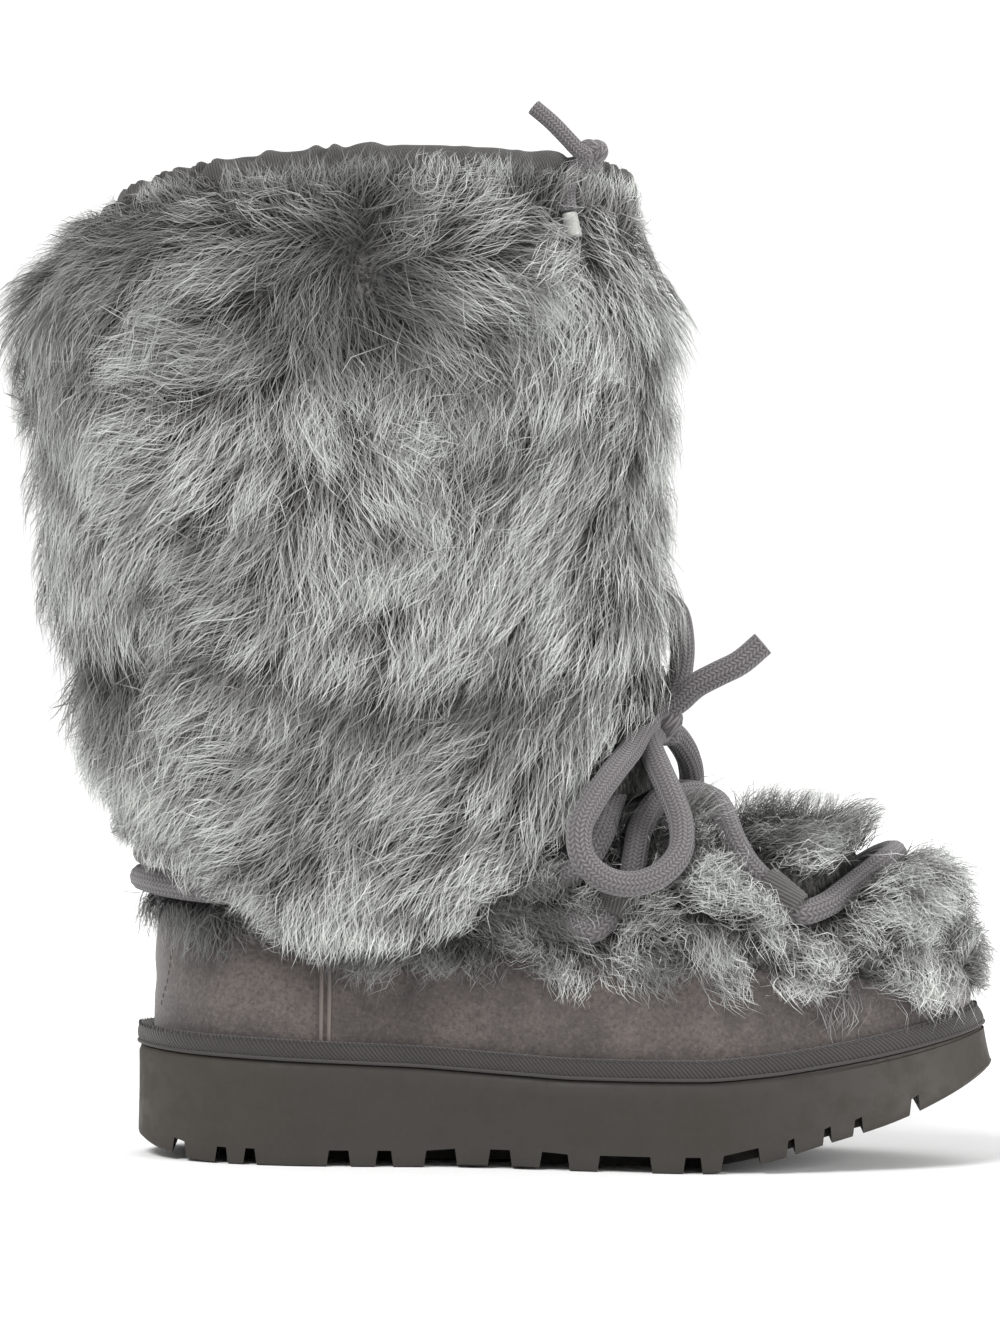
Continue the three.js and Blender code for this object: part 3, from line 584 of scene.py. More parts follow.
def ring_piece(name, rings, closed=True):
    rings = np.asarray(rings)
    count, around = rings.shape[:2]
    return mesh_piece(name, placed(rings.reshape(-1, 3)), ring_faces(count, around, closed))


def write_attribute(piece, name, kind, values, domain="POINT"):
    attribute = piece.data.attributes.new(name, kind, domain)
    key = {"FLOAT": "value", "FLOAT_VECTOR": "vector", "FLOAT_COLOR": "color"}[kind]
    attribute.data.foreach_set(key, np.asarray(values, np.float32).ravel())


def finish_piece(piece, material, replaces=()):
    if material is not None:
        piece.data.materials.clear()
        piece.data.materials.append(material)
    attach(piece, "root")
    if replaces:
        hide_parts(*replaces)
    return piece


def evaluated(piece, name):
    """The piece with its modifiers made real, as a new plain mesh; the old one is removed."""
    bpy.context.view_layer.update()
    mesh = bpy.data.meshes.new_from_object(piece.evaluated_get(bpy.context.evaluated_depsgraph_get()))
    result = bpy.data.objects.new(name, mesh)
    bpy.context.scene.collection.objects.link(result)
    bpy.data.objects.remove(piece)
    result.name = name
    mesh.name = name
    return result


# ---------------------------------------------------------------------- materials
class Shade:
    """A small helper that adds nodes to a tree and wires them."""

    def __init__(self, tree):
        self.tree = tree

    def wire(self, value, socket):
        if isinstance(value, bpy.types.NodeSocket):
            self.tree.links.new(value, socket)
        elif value is not None:
            if socket.type == "RGBA" and len(value) == 3:
                value = (*value, 1)
            socket.default_value = value

    def node(self, kind, inputs=None, **settings):
        made = self.tree.nodes.new(kind)
        for key, value in settings.items():
            setattr(made, key, value)
        for key, value in (inputs or {}).items():
            self.wire(value, made.inputs[key])
        return made

    def math(self, operation, a, b=0.0):
        return self.node("ShaderNodeMath", {0: a, 1: b}, operation=operation).outputs[0]

    def vector_math(self, operation, a, b):
        return self.node("ShaderNodeVectorMath", {0: a, 1: b}, operation=operation).outputs[0]

    def mix(self, share, a, b):
        made = self.node("ShaderNodeMix", data_type="RGBA", clamp_factor=True)
        for key, value in ((0, share), (6, a), (7, b)):
            self.wire(value, made.inputs[key])
        return made.outputs[2]

    def noise(self, where, scale, detail=3.0, roughness=0.55):
        inputs = {"Vector": where, "Scale": scale, "Detail": detail, "Roughness": roughness}
        return self.node("ShaderNodeTexNoise", inputs).outputs["Fac"]

    def wander(self, where, scale, far):
        """A smooth wandering of a place, as a vector."""
        cloud = self.node("ShaderNodeTexNoise", {"Vector": where, "Scale": scale, "Detail": 2.0})
        centred = self.vector_math("SUBTRACT", cloud.outputs["Color"], (0.5, 0.5, 0.5))
        return self.scaled(centred, (far, far, far))

    def between(self, value, low, high, to_low=0.0, to_high=1.0):
        inputs = {0: value, 1: low, 2: high, 3: to_low, 4: to_high}
        return self.node("ShaderNodeMapRange", inputs, interpolation_type="SMOOTHSTEP").outputs[0]

    def scaled(self, where, scale):
        return self.node("ShaderNodeMapping", {"Vector": where, "Scale": scale}).outputs[0]

    def bump(self, height, strength, distance):
        inputs = {"Height": height, "Strength": strength, "Distance": distance}
        return self.node("ShaderNodeBump", inputs).outputs[0]


def shader_group(name, inputs, outputs, build):
    """A node group of named inputs (name, socket, default) and outputs (name, socket), filled by build."""
    tree = bpy.data.node_groups.new(name, "ShaderNodeTree")
    for label, kind, default in inputs:
        socket = tree.interface.new_socket(label, in_out="INPUT", socket_type=kind)
        if default is not None:
            socket.default_value = default
    for label, kind in outputs:
        tree.interface.new_socket(label, in_out="OUTPUT", socket_type=kind)
    shade = Shade(tree)
    given = tree.nodes.new("NodeGroupInput").outputs
    end = tree.nodes.new("NodeGroupOutput").inputs
    for label, socket in build(shade, given).items():
        shade.wire(socket, end[label])
    return tree


def build_mottle(shade, given):
    """Broad patches, small blotches and grain, as one factor and a height."""
    broad = shade.noise(given["Vector"], given["Patch scale"], 2.0)
    blotch = shade.noise(given["Vector"], given["Blotch scale"], 4.0, 0.65)
    grain = shade.noise(given["Vector"], given["Grain scale"], 2.0, 0.7)
    patch = shade.between(broad, 0.34, 0.68)
    spot = shade.between(blotch, 0.3, 0.7)
    both = shade.math("ADD", shade.math("MULTIPLY", patch, 0.6), shade.math("MULTIPLY", spot, 0.4))
    height = shade.math("ADD", shade.math("MULTIPLY", grain, 0.7), shade.math("MULTIPLY", blotch, 0.3))
    return {"Mottle": both, "Spots": spot, "Height": height}


def build_twill(shade, given):
    """Slanted ribs on a strip, from its own millimetres across and along."""
    parts = shade.node("ShaderNodeSeparateXYZ", {0: given["Weave"]}).outputs
    across = shade.math("MULTIPLY", parts["X"], given["Slant"])
    phase = shade.math("FRACT", shade.math("DIVIDE", shade.math("ADD", parts["Y"], across), given["Rib mm"]))
    rib = shade.math("SINE", shade.math("MULTIPLY", phase, math.pi))
    crossing = shade.math("DIVIDE", shade.math("SUBTRACT", parts["X"], parts["Y"]), given["Rib mm"])
    other = shade.math("FRACT", crossing)
    thread = shade.math("SINE", shade.math("MULTIPLY", other, math.pi))
    height = shade.math("ADD", shade.math("MULTIPLY", rib, 0.8), shade.math("MULTIPLY", thread, 0.2))
    return {"Height": height, "Rib": rib}


def build_braid(shade, given):
    """Columns of slanted yarns that lean to alternate sides, in the cord's own frame."""
    parts = shade.node("ShaderNodeSeparateXYZ", {0: given["Frame"]}).outputs
    angle = shade.math("DIVIDE", shade.math("ARCTAN2", parts["Y"], parts["X"]), 2 * math.pi)
    turn = shade.math("MULTIPLY", shade.math("ADD", angle, 0.5), given["Columns"])
    across = shade.math("FRACT", turn)
    even = shade.math("GREATER_THAN", shade.math("FRACT", shade.math("MULTIPLY", turn, 0.5)), 0.5)
    lean = shade.math("ADD", shade.math("MULTIPLY", even, 2.0), -1.0)
    slant = shade.math("MULTIPLY", shade.math("MULTIPLY", shade.math("SUBTRACT", across, 0.5), lean), 0.9)
    phase = shade.math("FRACT", shade.math("ADD", shade.math("DIVIDE", parts["Z"], given["Pitch mm"]), slant))
    yarn = shade.math("SINE", shade.math("MULTIPLY", phase, math.pi))
    column = shade.math("SINE", shade.math("MULTIPLY", across, math.pi))
    height = shade.math("ADD", shade.math("MULTIPLY", yarn, 0.6), shade.math("MULTIPLY", column, 0.5))
    return {"Height": height, "Ridge": shade.math("MULTIPLY", yarn, shade.math("POWER", column, 0.5))}


VALUE, VECTOR = "NodeSocketFloat", "NodeSocketVector"
GROUPS = {
    "boot_mottle": (
        [
            ("Vector", VECTOR, None),
            ("Patch scale", VALUE, 20),
            ("Blotch scale", VALUE, 120),
            ("Grain scale", VALUE, 1500),
        ],
        [("Mottle", VALUE), ("Spots", VALUE), ("Height", VALUE)],
        build_mottle,
    ),
    "boot_twill": (
        [("Weave", VECTOR, None), ("Slant", VALUE, 0.6), ("Rib mm", VALUE, 1.1)],
        [("Height", VALUE), ("Rib", VALUE)],
        build_twill,
    ),
    "boot_braid": (
        [("Frame", VECTOR, None), ("Columns", VALUE, 16), ("Pitch mm", VALUE, 1.4)],
        [("Height", VALUE), ("Ridge", VALUE)],
        build_braid,
    ),
}


def use_group(shade, name, inputs):
    """One of the shared groups, made when it is first used."""
    group = bpy.data.node_groups.get(name) or shader_group(name, *GROUPS[name])
    made = shade.node("ShaderNodeGroup", node_tree=group)
    for key, value in inputs.items():
        shade.wire(value, made.inputs[key])
    return made.outputs


def mottled(shade, where, patch, blotch, grain):
    scales = {"Patch scale": patch, "Blotch scale": blotch, "Grain scale": grain}
    return use_group(shade, "boot_mottle", {"Vector": where, **scales})


def new_material(name, **plain):
    """A material with its Principled node; plain sets its constant sockets."""
    material = bpy.data.materials.new(name)
    material.use_nodes = True
    tree = material.node_tree
    surface = tree.nodes["Principled BSDF"]
    for key, value in plain.items():
        surface.inputs[key.replace("_", " ")].default_value = value
    return material, Shade(tree), surface.inputs


def object_place(shade):
    return shade.node("ShaderNodeTexCoord").outputs["Object"]


def attribute(shade, name):
    return shade.node("ShaderNodeAttribute", attribute_name=name, attribute_type="GEOMETRY").outputs


# ---------------------------------------------------------------------- settings
def srgb(*values):
    """A linear colour from its 0 to 255 values."""
    share = [v / 255 for v in values]
    return tuple(v / 12.92 if v <= 0.04045 else ((v + 0.055) / 1.055) ** 2.4 for v in share)


def colour_prop(name, description, *values):
    return bpy.props.FloatVectorProperty(
        name=name, description=description, default=srgb(*values), size=3, min=0, max=1, subtype="COLOR"
    )


def length_prop(name, description, default):
    place = {"unit": "LENGTH", "subtype": "DISTANCE", "precision": 5}
    return bpy.props.FloatProperty(name=name, description=description, default=default * MM, min=0, **place)


def angle_prop(name, description, degrees):
    turn = math.radians(degrees)
    return bpy.props.FloatProperty(name=name, description=description, default=turn, subtype="ANGLE")


def count_prop(name, description, default):
    return bpy.props.IntProperty(name=name, description=description, default=default, min=1)


class BootColours(bpy.types.PropertyGroup):
    sole: colour_prop("Sole", "Foam of the sole", 43, 39, 33)
    tape: colour_prop("Tape", "Webbing round the top of the sole", 55, 52, 50)
    suede: colour_prop("Suede", "Suede of the foot, where the nap lies down", 92, 83, 79)
    suede_dark: colour_prop("Suede, dark", "Suede where the nap is brushed up", 59, 52, 50)
    # The roots are dark partly by their own colour and partly as painted shade deep in the coat.
    fur_root: colour_prop("Fur roots", "Fur at the hide", 42, 41, 41)
    fur_middle: colour_prop("Fur", "Fur along its length", 142, 141, 139)
    fur_tip: colour_prop("Fur tips", "Fur at its ends", 240, 243, 238)
    lining: colour_prop("Lining", "Pressed wool inside", 150, 150, 148)
    twill: colour_prop("Twill", "Collar casing and lace sleeves", 74, 72, 71)
    lace: colour_prop("Lace", "Braided lace and drawcord", 113, 109, 111)
    tip: colour_prop("Tip", "Moulded end of the drawcord", 172, 172, 168)


class BootFur(bpy.types.PropertyGroup):
    shaft_spacing: length_prop("Shaft tuft spacing", "Distance between the tufts of the shaft", 7.5)
    foot_spacing: length_prop("Foot tuft spacing", "Distance between the tufts on the foot", 8.0)
    shaft_length: length_prop("Shaft strand length", "Length of a strand on the shaft", 31)
    foot_length: length_prop("Foot strand length", "Length of a strand on the foot", 21)
    shaft_width: length_prop("Shaft strand width", "Width of a shaft strand at its middle", 0.29)
    foot_width: length_prop("Foot strand width", "Width of a foot strand at its middle", 0.27)
    shaft_count: count_prop("Shaft strands", "Strands on the shaft", 92000)
    foot_count: count_prop("Foot strands", "Strands on the foot", 44000)
    seed: bpy.props.IntProperty(name="Seed", description="Seed of the fur's lie", default=11)


class BootStage(bpy.types.PropertyGroup):
    distance: length_prop("Distance", "Camera's distance from the boot", 2500)
    elevation: angle_prop("Elevation", "Camera's angle above the floor", 2.2)
    roll: angle_prop("Roll", "Camera's turn about its own line of sight", 0.76)
    lens: bpy.props.FloatProperty(
        name="Lens",
        description="Camera's focal length in millimetres",
        default=202.4,
        subtype="DISTANCE_CAMERA",
    )
    aim_x: length_prop("Aim, along", "What the camera looks at, in front of the origin", 66.9)
    aim_z: length_prop("Aim, up", "What the camera looks at, above the floor", 163.5)


def colours():
    return bpy.context.scene.boot_colours


# ---------------------------------------------------------------------- finishes
def suede_material():
    material, shade, surface = new_material("suede", Roughness=0.95, Sheen_Weight=0.35, Sheen_Roughness=0.6)
    where = object_place(shade)
    mottle = mottled(shade, where, 34, 240, 1500)
    nap = shade.noise(where, 760, 4, 0.75)
    base = shade.mix(mottle["Mottle"], colours().suede_dark, colours().suede)
    base = shade.mix(shade.between(nap, 0.52, 0.72, 0, 0.4), base, srgb(122, 111, 107))
    base = shade.mix(shade.between(nap, 0.52, 0.34, 0, 0.8), base, srgb(50, 44, 41))
    shade.wire(base, surface["Base Color"])
    height = shade.math("ADD", mottle["Height"], shade.math("MULTIPLY", nap, 0.8))
    shade.wire(shade.bump(height, 0.6, 0.0006), surface["Normal"])
    return material


def sole_material():
    material, shade, surface = new_material("sole_foam", Roughness=0.62)
    where = object_place(shade)
    mottle = mottled(shade, where, 14, 90, 1800)
    parts = shade.node("ShaderNodeSeparateXYZ", {0: where}).outputs
    ends = shade.math("ABSOLUTE", shade.math("SUBTRACT", parts["X"], 0.09))
    warm = shade.mix(shade.between(ends, 0.08, 0.145), colours().sole, srgb(57, 51, 44))
    # Darker towards the floor.
    low_darkened = shade.mix(shade.between(parts["Z"], 0.012, 0.0, 0, 0.45), warm, srgb(44, 41, 38))
    base = shade.mix(shade.math("MULTIPLY", mottle["Mottle"], 0.3), low_darkened, srgb(52, 49, 45))
    shade.wire(base, surface["Base Color"])
    shade.wire(shade.between(mottle["Spots"], 0, 1, 0.52, 0.72), surface["Roughness"])
    shade.wire(shade.bump(mottle["Height"], 0.25, 0.00025), surface["Normal"])
    return material


def webbing_material(name, base, rib_mm, slant, depth):
    material, shade, surface = new_material(name, Roughness=0.88, Sheen_Weight=0.2)
    weave = attribute(shade, "weave")["Vector"]
    twill = use_group(shade, "boot_twill", {"Weave": weave, "Slant": slant, "Rib mm": rib_mm})
    mottle = mottled(shade, object_place(shade), 40, 300, 2600)
    dark = tuple(v * 0.42 for v in base)
    light = tuple(min(1.0, v * 1.35) for v in base)
    # Ribs paler and grooves darker: painted light and shade on the weave.
    tone = shade.mix(twill["Rib"], dark, light)
    tone = shade.mix(shade.math("MULTIPLY", mottle["Mottle"], 0.25), tone, dark)
    shade.wire(tone, surface["Base Color"])
    height = shade.math("ADD", twill["Height"], shade.math("MULTIPLY", mottle["Height"], 0.3))
    shade.wire(shade.bump(height, 0.8, depth), surface["Normal"])
    return material


def thread_material(name, base):
    material, shade, surface = new_material(name, Roughness=0.8, Sheen_Weight=0.2)
    fibre = shade.noise(object_place(shade), 2200, 2)
    shade.wire(shade.mix(fibre, tuple(v * 0.7 for v in base), base), surface["Base Color"])
    shade.wire(shade.bump(fibre, 0.5, 0.0002), surface["Normal"])
    return material


def braid_material(name, columns, pitch):
    material, shade, surface = new_material(name, Roughness=0.85, Sheen_Weight=0.3, Sheen_Roughness=0.5)
    frame_of_cord = attribute(shade, "cord_frame")["Vector"]
    braid = use_group(shade, "boot_braid", {"Frame": frame_of_cord, "Columns": columns, "Pitch mm": pitch})
    mottle = mottled(shade, object_place(shade), 30, 260, 2600)
    base = colours().lace
    # Paler on the yarns' crests, dark between yarns and columns: painted light and shade on the braid.
    tone = shade.mix(braid["Ridge"], tuple(v * 0.3 for v in base), tuple(min(1.0, v * 1.3) for v in base))
    tone = shade.mix(shade.math("MULTIPLY", mottle["Mottle"], 0.3), tone, tuple(v * 0.6 for v in base))
    shade.wire(tone, surface["Base Color"])
    height = shade.math("ADD", braid["Height"], shade.math("MULTIPLY", mottle["Height"], 0.25))
    shade.wire(shade.bump(height, 0.9, 0.0005), surface["Normal"])
    return material


def fur_material():
    """Strand colour from the coat attribute: along the strand, the strand's own tone, the tuft's tone with
    its painted light and shade.
    """
    sheen = {"Sheen_Weight": 0.5, "Sheen_Roughness": 0.35}
    material, shade, surface = new_material("fur_strands", Roughness=0.6, **sheen)
    parts = shade.node("ShaderNodeSeparateColor", {0: attribute(shade, "coat")["Color"]}).outputs
    # Darker towards the root: partly the fur's own colour, partly painted shade deep in the coat.
    lower = shade.mix(shade.between(parts[0], 0.0, 0.5), colours().fur_root, colours().fur_middle)
    whole = shade.mix(shade.between(parts[0], 0.42, 0.95), lower, colours().fur_tip)
    dim = shade.mix(0.55, whole, colours().fur_root)
    strand = shade.mix(shade.between(parts[1], 0.0, 1.0, 0.0, 0.55), whole, dim)
    tuft = shade.mix(shade.between(parts[2], 0.0, 1.0, 0.85, 0.0), strand, colours().fur_root)
    shade.wire(tuft, surface["Base Color"])
    return material


def undercoat_material():
    material, shade, surface = new_material("fur_undercoat", Roughness=0.95)
    where = object_place(shade)
    bent = shade.vector_math("ADD", where, shade.wander(where, 90, 0.006))
    wool = shade.noise(shade.scaled(bent, (1, 1, 0.3)), 900, 4, 0.75)
    tufts = shade.noise(where, 150, 2)
    # Dark wool: partly its own colour, partly painted shade deep in the coat, darker still in patches.
    base = shade.mix(shade.between(wool, 0.4, 0.62), srgb(40, 39, 38), srgb(112, 111, 109))
    base = shade.mix(shade.between(tufts, 0.42, 0.62, 0, 0.7), base, srgb(38, 37, 36))
    shade.wire(base, surface["Base Color"])
    shade.wire(shade.bump(wool, 1.0, 0.002), surface["Normal"])
    return material


def lining_material():
    material, shade, surface = new_material("lining_wool", Roughness=1.0, Sheen_Weight=0.3)
    where = object_place(shade)
    cells = shade.node("ShaderNodeTexVoronoi", {"Vector": where, "Scale": 330.0}, feature="SMOOTH_F1")
    curl = cells.outputs["Distance"]
    mottle = mottled(shade, where, 25, 200, 1400)
    # Darker between the curls, where the wool sinks: painted shade.
    base = shade.mix(shade.between(curl, 0.1, 0.7), colours().lining, srgb(96, 96, 95))
    base = shade.mix(shade.math("MULTIPLY", mottle["Mottle"], 0.3), base, srgb(118, 118, 116))
    shade.wire(base, surface["Base Color"])
    height = shade.math("SUBTRACT", shade.math("MULTIPLY", mottle["Height"], 0.4), curl)
    shade.wire(shade.bump(height, 0.9, 0.0015), surface["Normal"])
    return material


def tip_material():
    material, shade, surface = new_material("drawcord_tip_plastic", Roughness=0.38, Coat_Weight=0.2)
    parts = shade.node("ShaderNodeSeparateXYZ", {0: object_place(shade)}).outputs
    mottle = mottled(shade, object_place(shade), 60, 300, 2500)
    foot_height = DRAWCORD_TIP[1][2] * MM
    end = shade.between(parts["Z"], foot_height + 0.0004, foot_height - 0.0004)
    base = shade.mix(shade.math("MULTIPLY", mottle["Mottle"], 0.25), colours().tip, srgb(140, 140, 137))
    shade.wire(shade.mix(end, base, srgb(52, 52, 54)), surface["Base Color"])
    shade.wire(shade.bump(mottle["Height"], 0.2, 0.0001), surface["Normal"])
    return material


# ---------------------------------------------------------------------- ropes and stitches
def geometry_tree(name, inputs, build):
    """A geometry tree of named inputs (name, socket, default), filled by build when it is first used.

    Returns the tree and the identifiers of its inputs by name.
    """
    tree = bpy.data.node_groups.get(name)
    if tree is None:
        tree = bpy.data.node_groups.new(name, "GeometryNodeTree")
        tree.interface.new_socket("Geometry", in_out="INPUT", socket_type="NodeSocketGeometry")
        for label, kind, default in inputs:
            tree.interface.new_socket(label, in_out="INPUT", socket_type=kind).default_value = default
        tree.interface.new_socket("Material", in_out="INPUT", socket_type="NodeSocketMaterial")
        tree.interface.new_socket("Geometry", in_out="OUTPUT", socket_type="NodeSocketGeometry")
        shade = Shade(tree)
        given = tree.nodes.new("NodeGroupInput").outputs
        made = build(shade, given)
        coloured = {"Geometry": made, "Material": given["Material"]}
        end = tree.nodes.new("NodeGroupOutput").inputs[0]
        shade.wire(shade.node("GeometryNodeSetMaterial", coloured).outputs[0], end)
    return tree, {s.name: s.identifier for s in tree.interface.items_tree if s.in_out == "INPUT"}


def stored(shade, geometry, name, kind, value):
    """Geometry with a value stored on its points."""
    inputs = {"Geometry": geometry, "Name": name}
    made = shade.node("GeometryNodeStoreNamedAttribute", inputs, data_type=kind, domain="POINT")
    shade.wire(value, made.inputs["Value"])
    return made.outputs[0]


def named(shade, name, kind):
    return shade.node("GeometryNodeInputNamedAttribute", {"Name": name}, data_type=kind).outputs["Attribute"]


def build_rope(shade, given):
    """A round rope along a curve, whose every other edge stands a little proud, with its braid's frame."""
    length = shade.node("GeometryNodeSplineParameter").outputs["Length"]
    rail = stored(shade, given["Geometry"], "run", "FLOAT", shade.math("MULTIPLY", length, 1 / MM))
    circle = {"Resolution": given["Sides"], "Radius": given["Radius"]}
    ring = shade.node("GeometryNodeCurvePrimitiveCircle", circle, mode="RADIUS").outputs["Curve"]
    position = shade.node("GeometryNodeInputPosition").outputs[0]
    place = shade.node("ShaderNodeSeparateXYZ", {0: position}).outputs
    odd = shade.math("MODULO", shade.node("GeometryNodeInputIndex").outputs[0], 2.0)
    marked = shade.node("ShaderNodeCombineXYZ", {0: place["X"], 1: place["Y"], 2: odd}).outputs[0]
    profile = stored(shade, ring, "corner", "FLOAT_VECTOR", marked)
    sweep = {"Curve": rail, "Profile Curve": profile, "Fill Caps": True}
    swept = shade.node("GeometryNodeCurveToMesh", sweep).outputs[0]
    at = shade.node("ShaderNodeSeparateXYZ", {0: named(shade, "corner", "FLOAT_VECTOR")}).outputs
    x, y = (shade.math("DIVIDE", at[axis], given["Radius"]) for axis in "XY")
    cord_frame = shade.node("ShaderNodeCombineXYZ", {0: x, 1: y, 2: named(shade, "run", "FLOAT")}).outputs[0]
    framed = stored(shade, swept, "cord_frame", "FLOAT_VECTOR", cord_frame)
    normal = shade.node("GeometryNodeInputNormal").outputs["Normal"]
    proud = shade.math("MULTIPLY", shade.math("SUBTRACT", at["Z"], 1.0), given["Relief"])
    offset = shade.node("ShaderNodeVectorMath", {0: normal, "Scale": proud}, operation="SCALE").outputs[0]
    moved = shade.node("GeometryNodeSetPosition", {"Geometry": framed, "Offset": offset}).outputs[0]
    rounded = shade.node("GeometryNodeSetShadeSmooth", {"Geometry": moved}).outputs[0]
    return shade.node("GeometryNodeRealizeInstances", {"Geometry": rounded}).outputs[0]


def build_stitches(shade, given):
    """Small thread stitches at even steps along a curve."""
    along = {"Curve": given["Geometry"], "Length": given["Spacing"]}
    points = shade.node("GeometryNodeCurveToPoints", along, mode="LENGTH").outputs
    ball = {"Segments": 6, "Rings": 5, "Radius": given["Thread radius"]}
    half = shade.math("MULTIPLY", given["Stitch length"], 0.5)
    stretch = shade.math("DIVIDE", half, given["Thread radius"])
    size = shade.node("ShaderNodeCombineXYZ", {0: 1.0, 1: 1.0, 2: stretch}).outputs[0]
    stretched = {"Geometry": shade.node("GeometryNodeMeshUVSphere", ball).outputs[0], "Scale": size}
    stitch = shade.node("GeometryNodeTransform", stretched).outputs[0]
    lean = {"Axis": (1.0, 0.0, 0.0), "Angle": given["Lean"]}
    turn = shade.node("FunctionNodeAxisAngleToRotation", lean).outputs[0]
    turned_by = {"Rotation": points["Rotation"], "Rotate By": turn}
    facing = shade.node("FunctionNodeRotateRotation", turned_by, rotation_space="LOCAL").outputs[0]
    sown = {"Points": points[0], "Instance": stitch, "Rotation": facing}
    placed_on = shade.node("GeometryNodeInstanceOnPoints", sown).outputs[0]
    made = shade.node("GeometryNodeRealizeInstances", {"Geometry": placed_on}).outputs[0]
    return shade.node("GeometryNodeSetShadeSmooth", {"Geometry": made}).outputs[0]


ROPE_INPUTS = [("Radius", VALUE, 0.00425), ("Sides", "NodeSocketInt", 32), ("Relief", VALUE, 0.00016)]
STITCH_INPUTS = [
    ("Spacing", VALUE, 0.0024),
    ("Stitch length", VALUE, 0.0018),
    ("Thread radius", VALUE, 0.0003),
    ("Lean", VALUE, 0.5),
]


def curve_piece(name, lines, closed=False):
    """A poly curve through each line's points, in millimetres of the last."""
    curve = bpy.data.curves.new(name, "CURVE")
    curve.dimensions = "3D"
    for line in lines:
        spline = curve.splines.new("POLY")
        spline.points.add(len(line) - 1)
        spline.points.foreach_set("co", np.c_[placed(line), np.ones(len(line))].astype(np.float32).ravel())
        spline.use_cyclic_u = closed
    piece = bpy.data.objects.new(name, curve)
    bpy.context.scene.collection.objects.link(piece)
    return piece


def with_tree(piece, tree_and_sockets, name, values):
    """The piece with a geometry tree run on it, as a plain mesh."""
    tree, sockets = tree_and_sockets
    modifier = piece.modifiers.new("made", "NODES")
    modifier.node_group = tree
    for label, value in values.items():
        modifier[sockets[label]] = value
    return evaluated(piece, name)


def rope_piece(name, lines, radius, material, closed=False, sides=32, relief=LACE_RELIEF):
    piece = curve_piece(name + "_line", lines, closed)
    tree = geometry_tree("boot_rope", ROPE_INPUTS, build_rope)
    values = {"Radius": radius * MM, "Sides": sides, "Relief": relief * MM, "Material": material}
    return with_tree(piece, tree, name, values)


def stitch_piece(name, lines, material, spacing, length, radius, lean, closed=False):
    piece = curve_piece(name + "_line", lines, closed)
    tree = geometry_tree("boot_stitches", STITCH_INPUTS, build_stitches)
    sizes = {"Spacing": spacing, "Stitch length": length, "Thread radius": radius}
    values = {label: size * MM for label, size in sizes.items()}
    return with_tree(piece, tree, name, {**values, "Lean": lean, "Material": material})


def knot_line(centre, size, radius):
    """A closed line that crosses itself three times inside a knot's size, for a rope of some radius."""
    t = np.linspace(0, 2 * np.pi, 97)[:-1]
    turns = np.stack([np.sin(t) + 2 * np.sin(2 * t), -np.sin(3 * t), np.cos(t) - 2 * np.cos(2 * t)], -1)
    return np.array(centre) + turns / [3, 1, 3] * (np.array(size) - radius)


ROPES = {}  # the centre lines of all ropes, which the fur keeps clear of


def rope_samples():
    points = np.concatenate(list(ROPES.values()))
    tree = kdtree.KDTree(len(points))
    for i, point in enumerate(points):
        tree.insert(Vector(point), i)
    tree.balance()
    return points, tree


# ---------------------------------------------------------------------- stage and cords
SKY_STRENGTH = 0.6
SKY_SEEN = 0.5  # how much stronger the sky is where the camera looks straight at it
SUN_STRENGTH = 2.2
SUN_SPREAD = 24  # degrees
SUN_WAY = (0.42, 0.62, -0.9)
LAMPS = {"side": ((1.9, -1.1, 0.8), 0.9, 25), "rim": ((0.2, 1.7, 1.7), 1.4, 14)}  # place, size and watts
FLOOR_HALF = 6.0


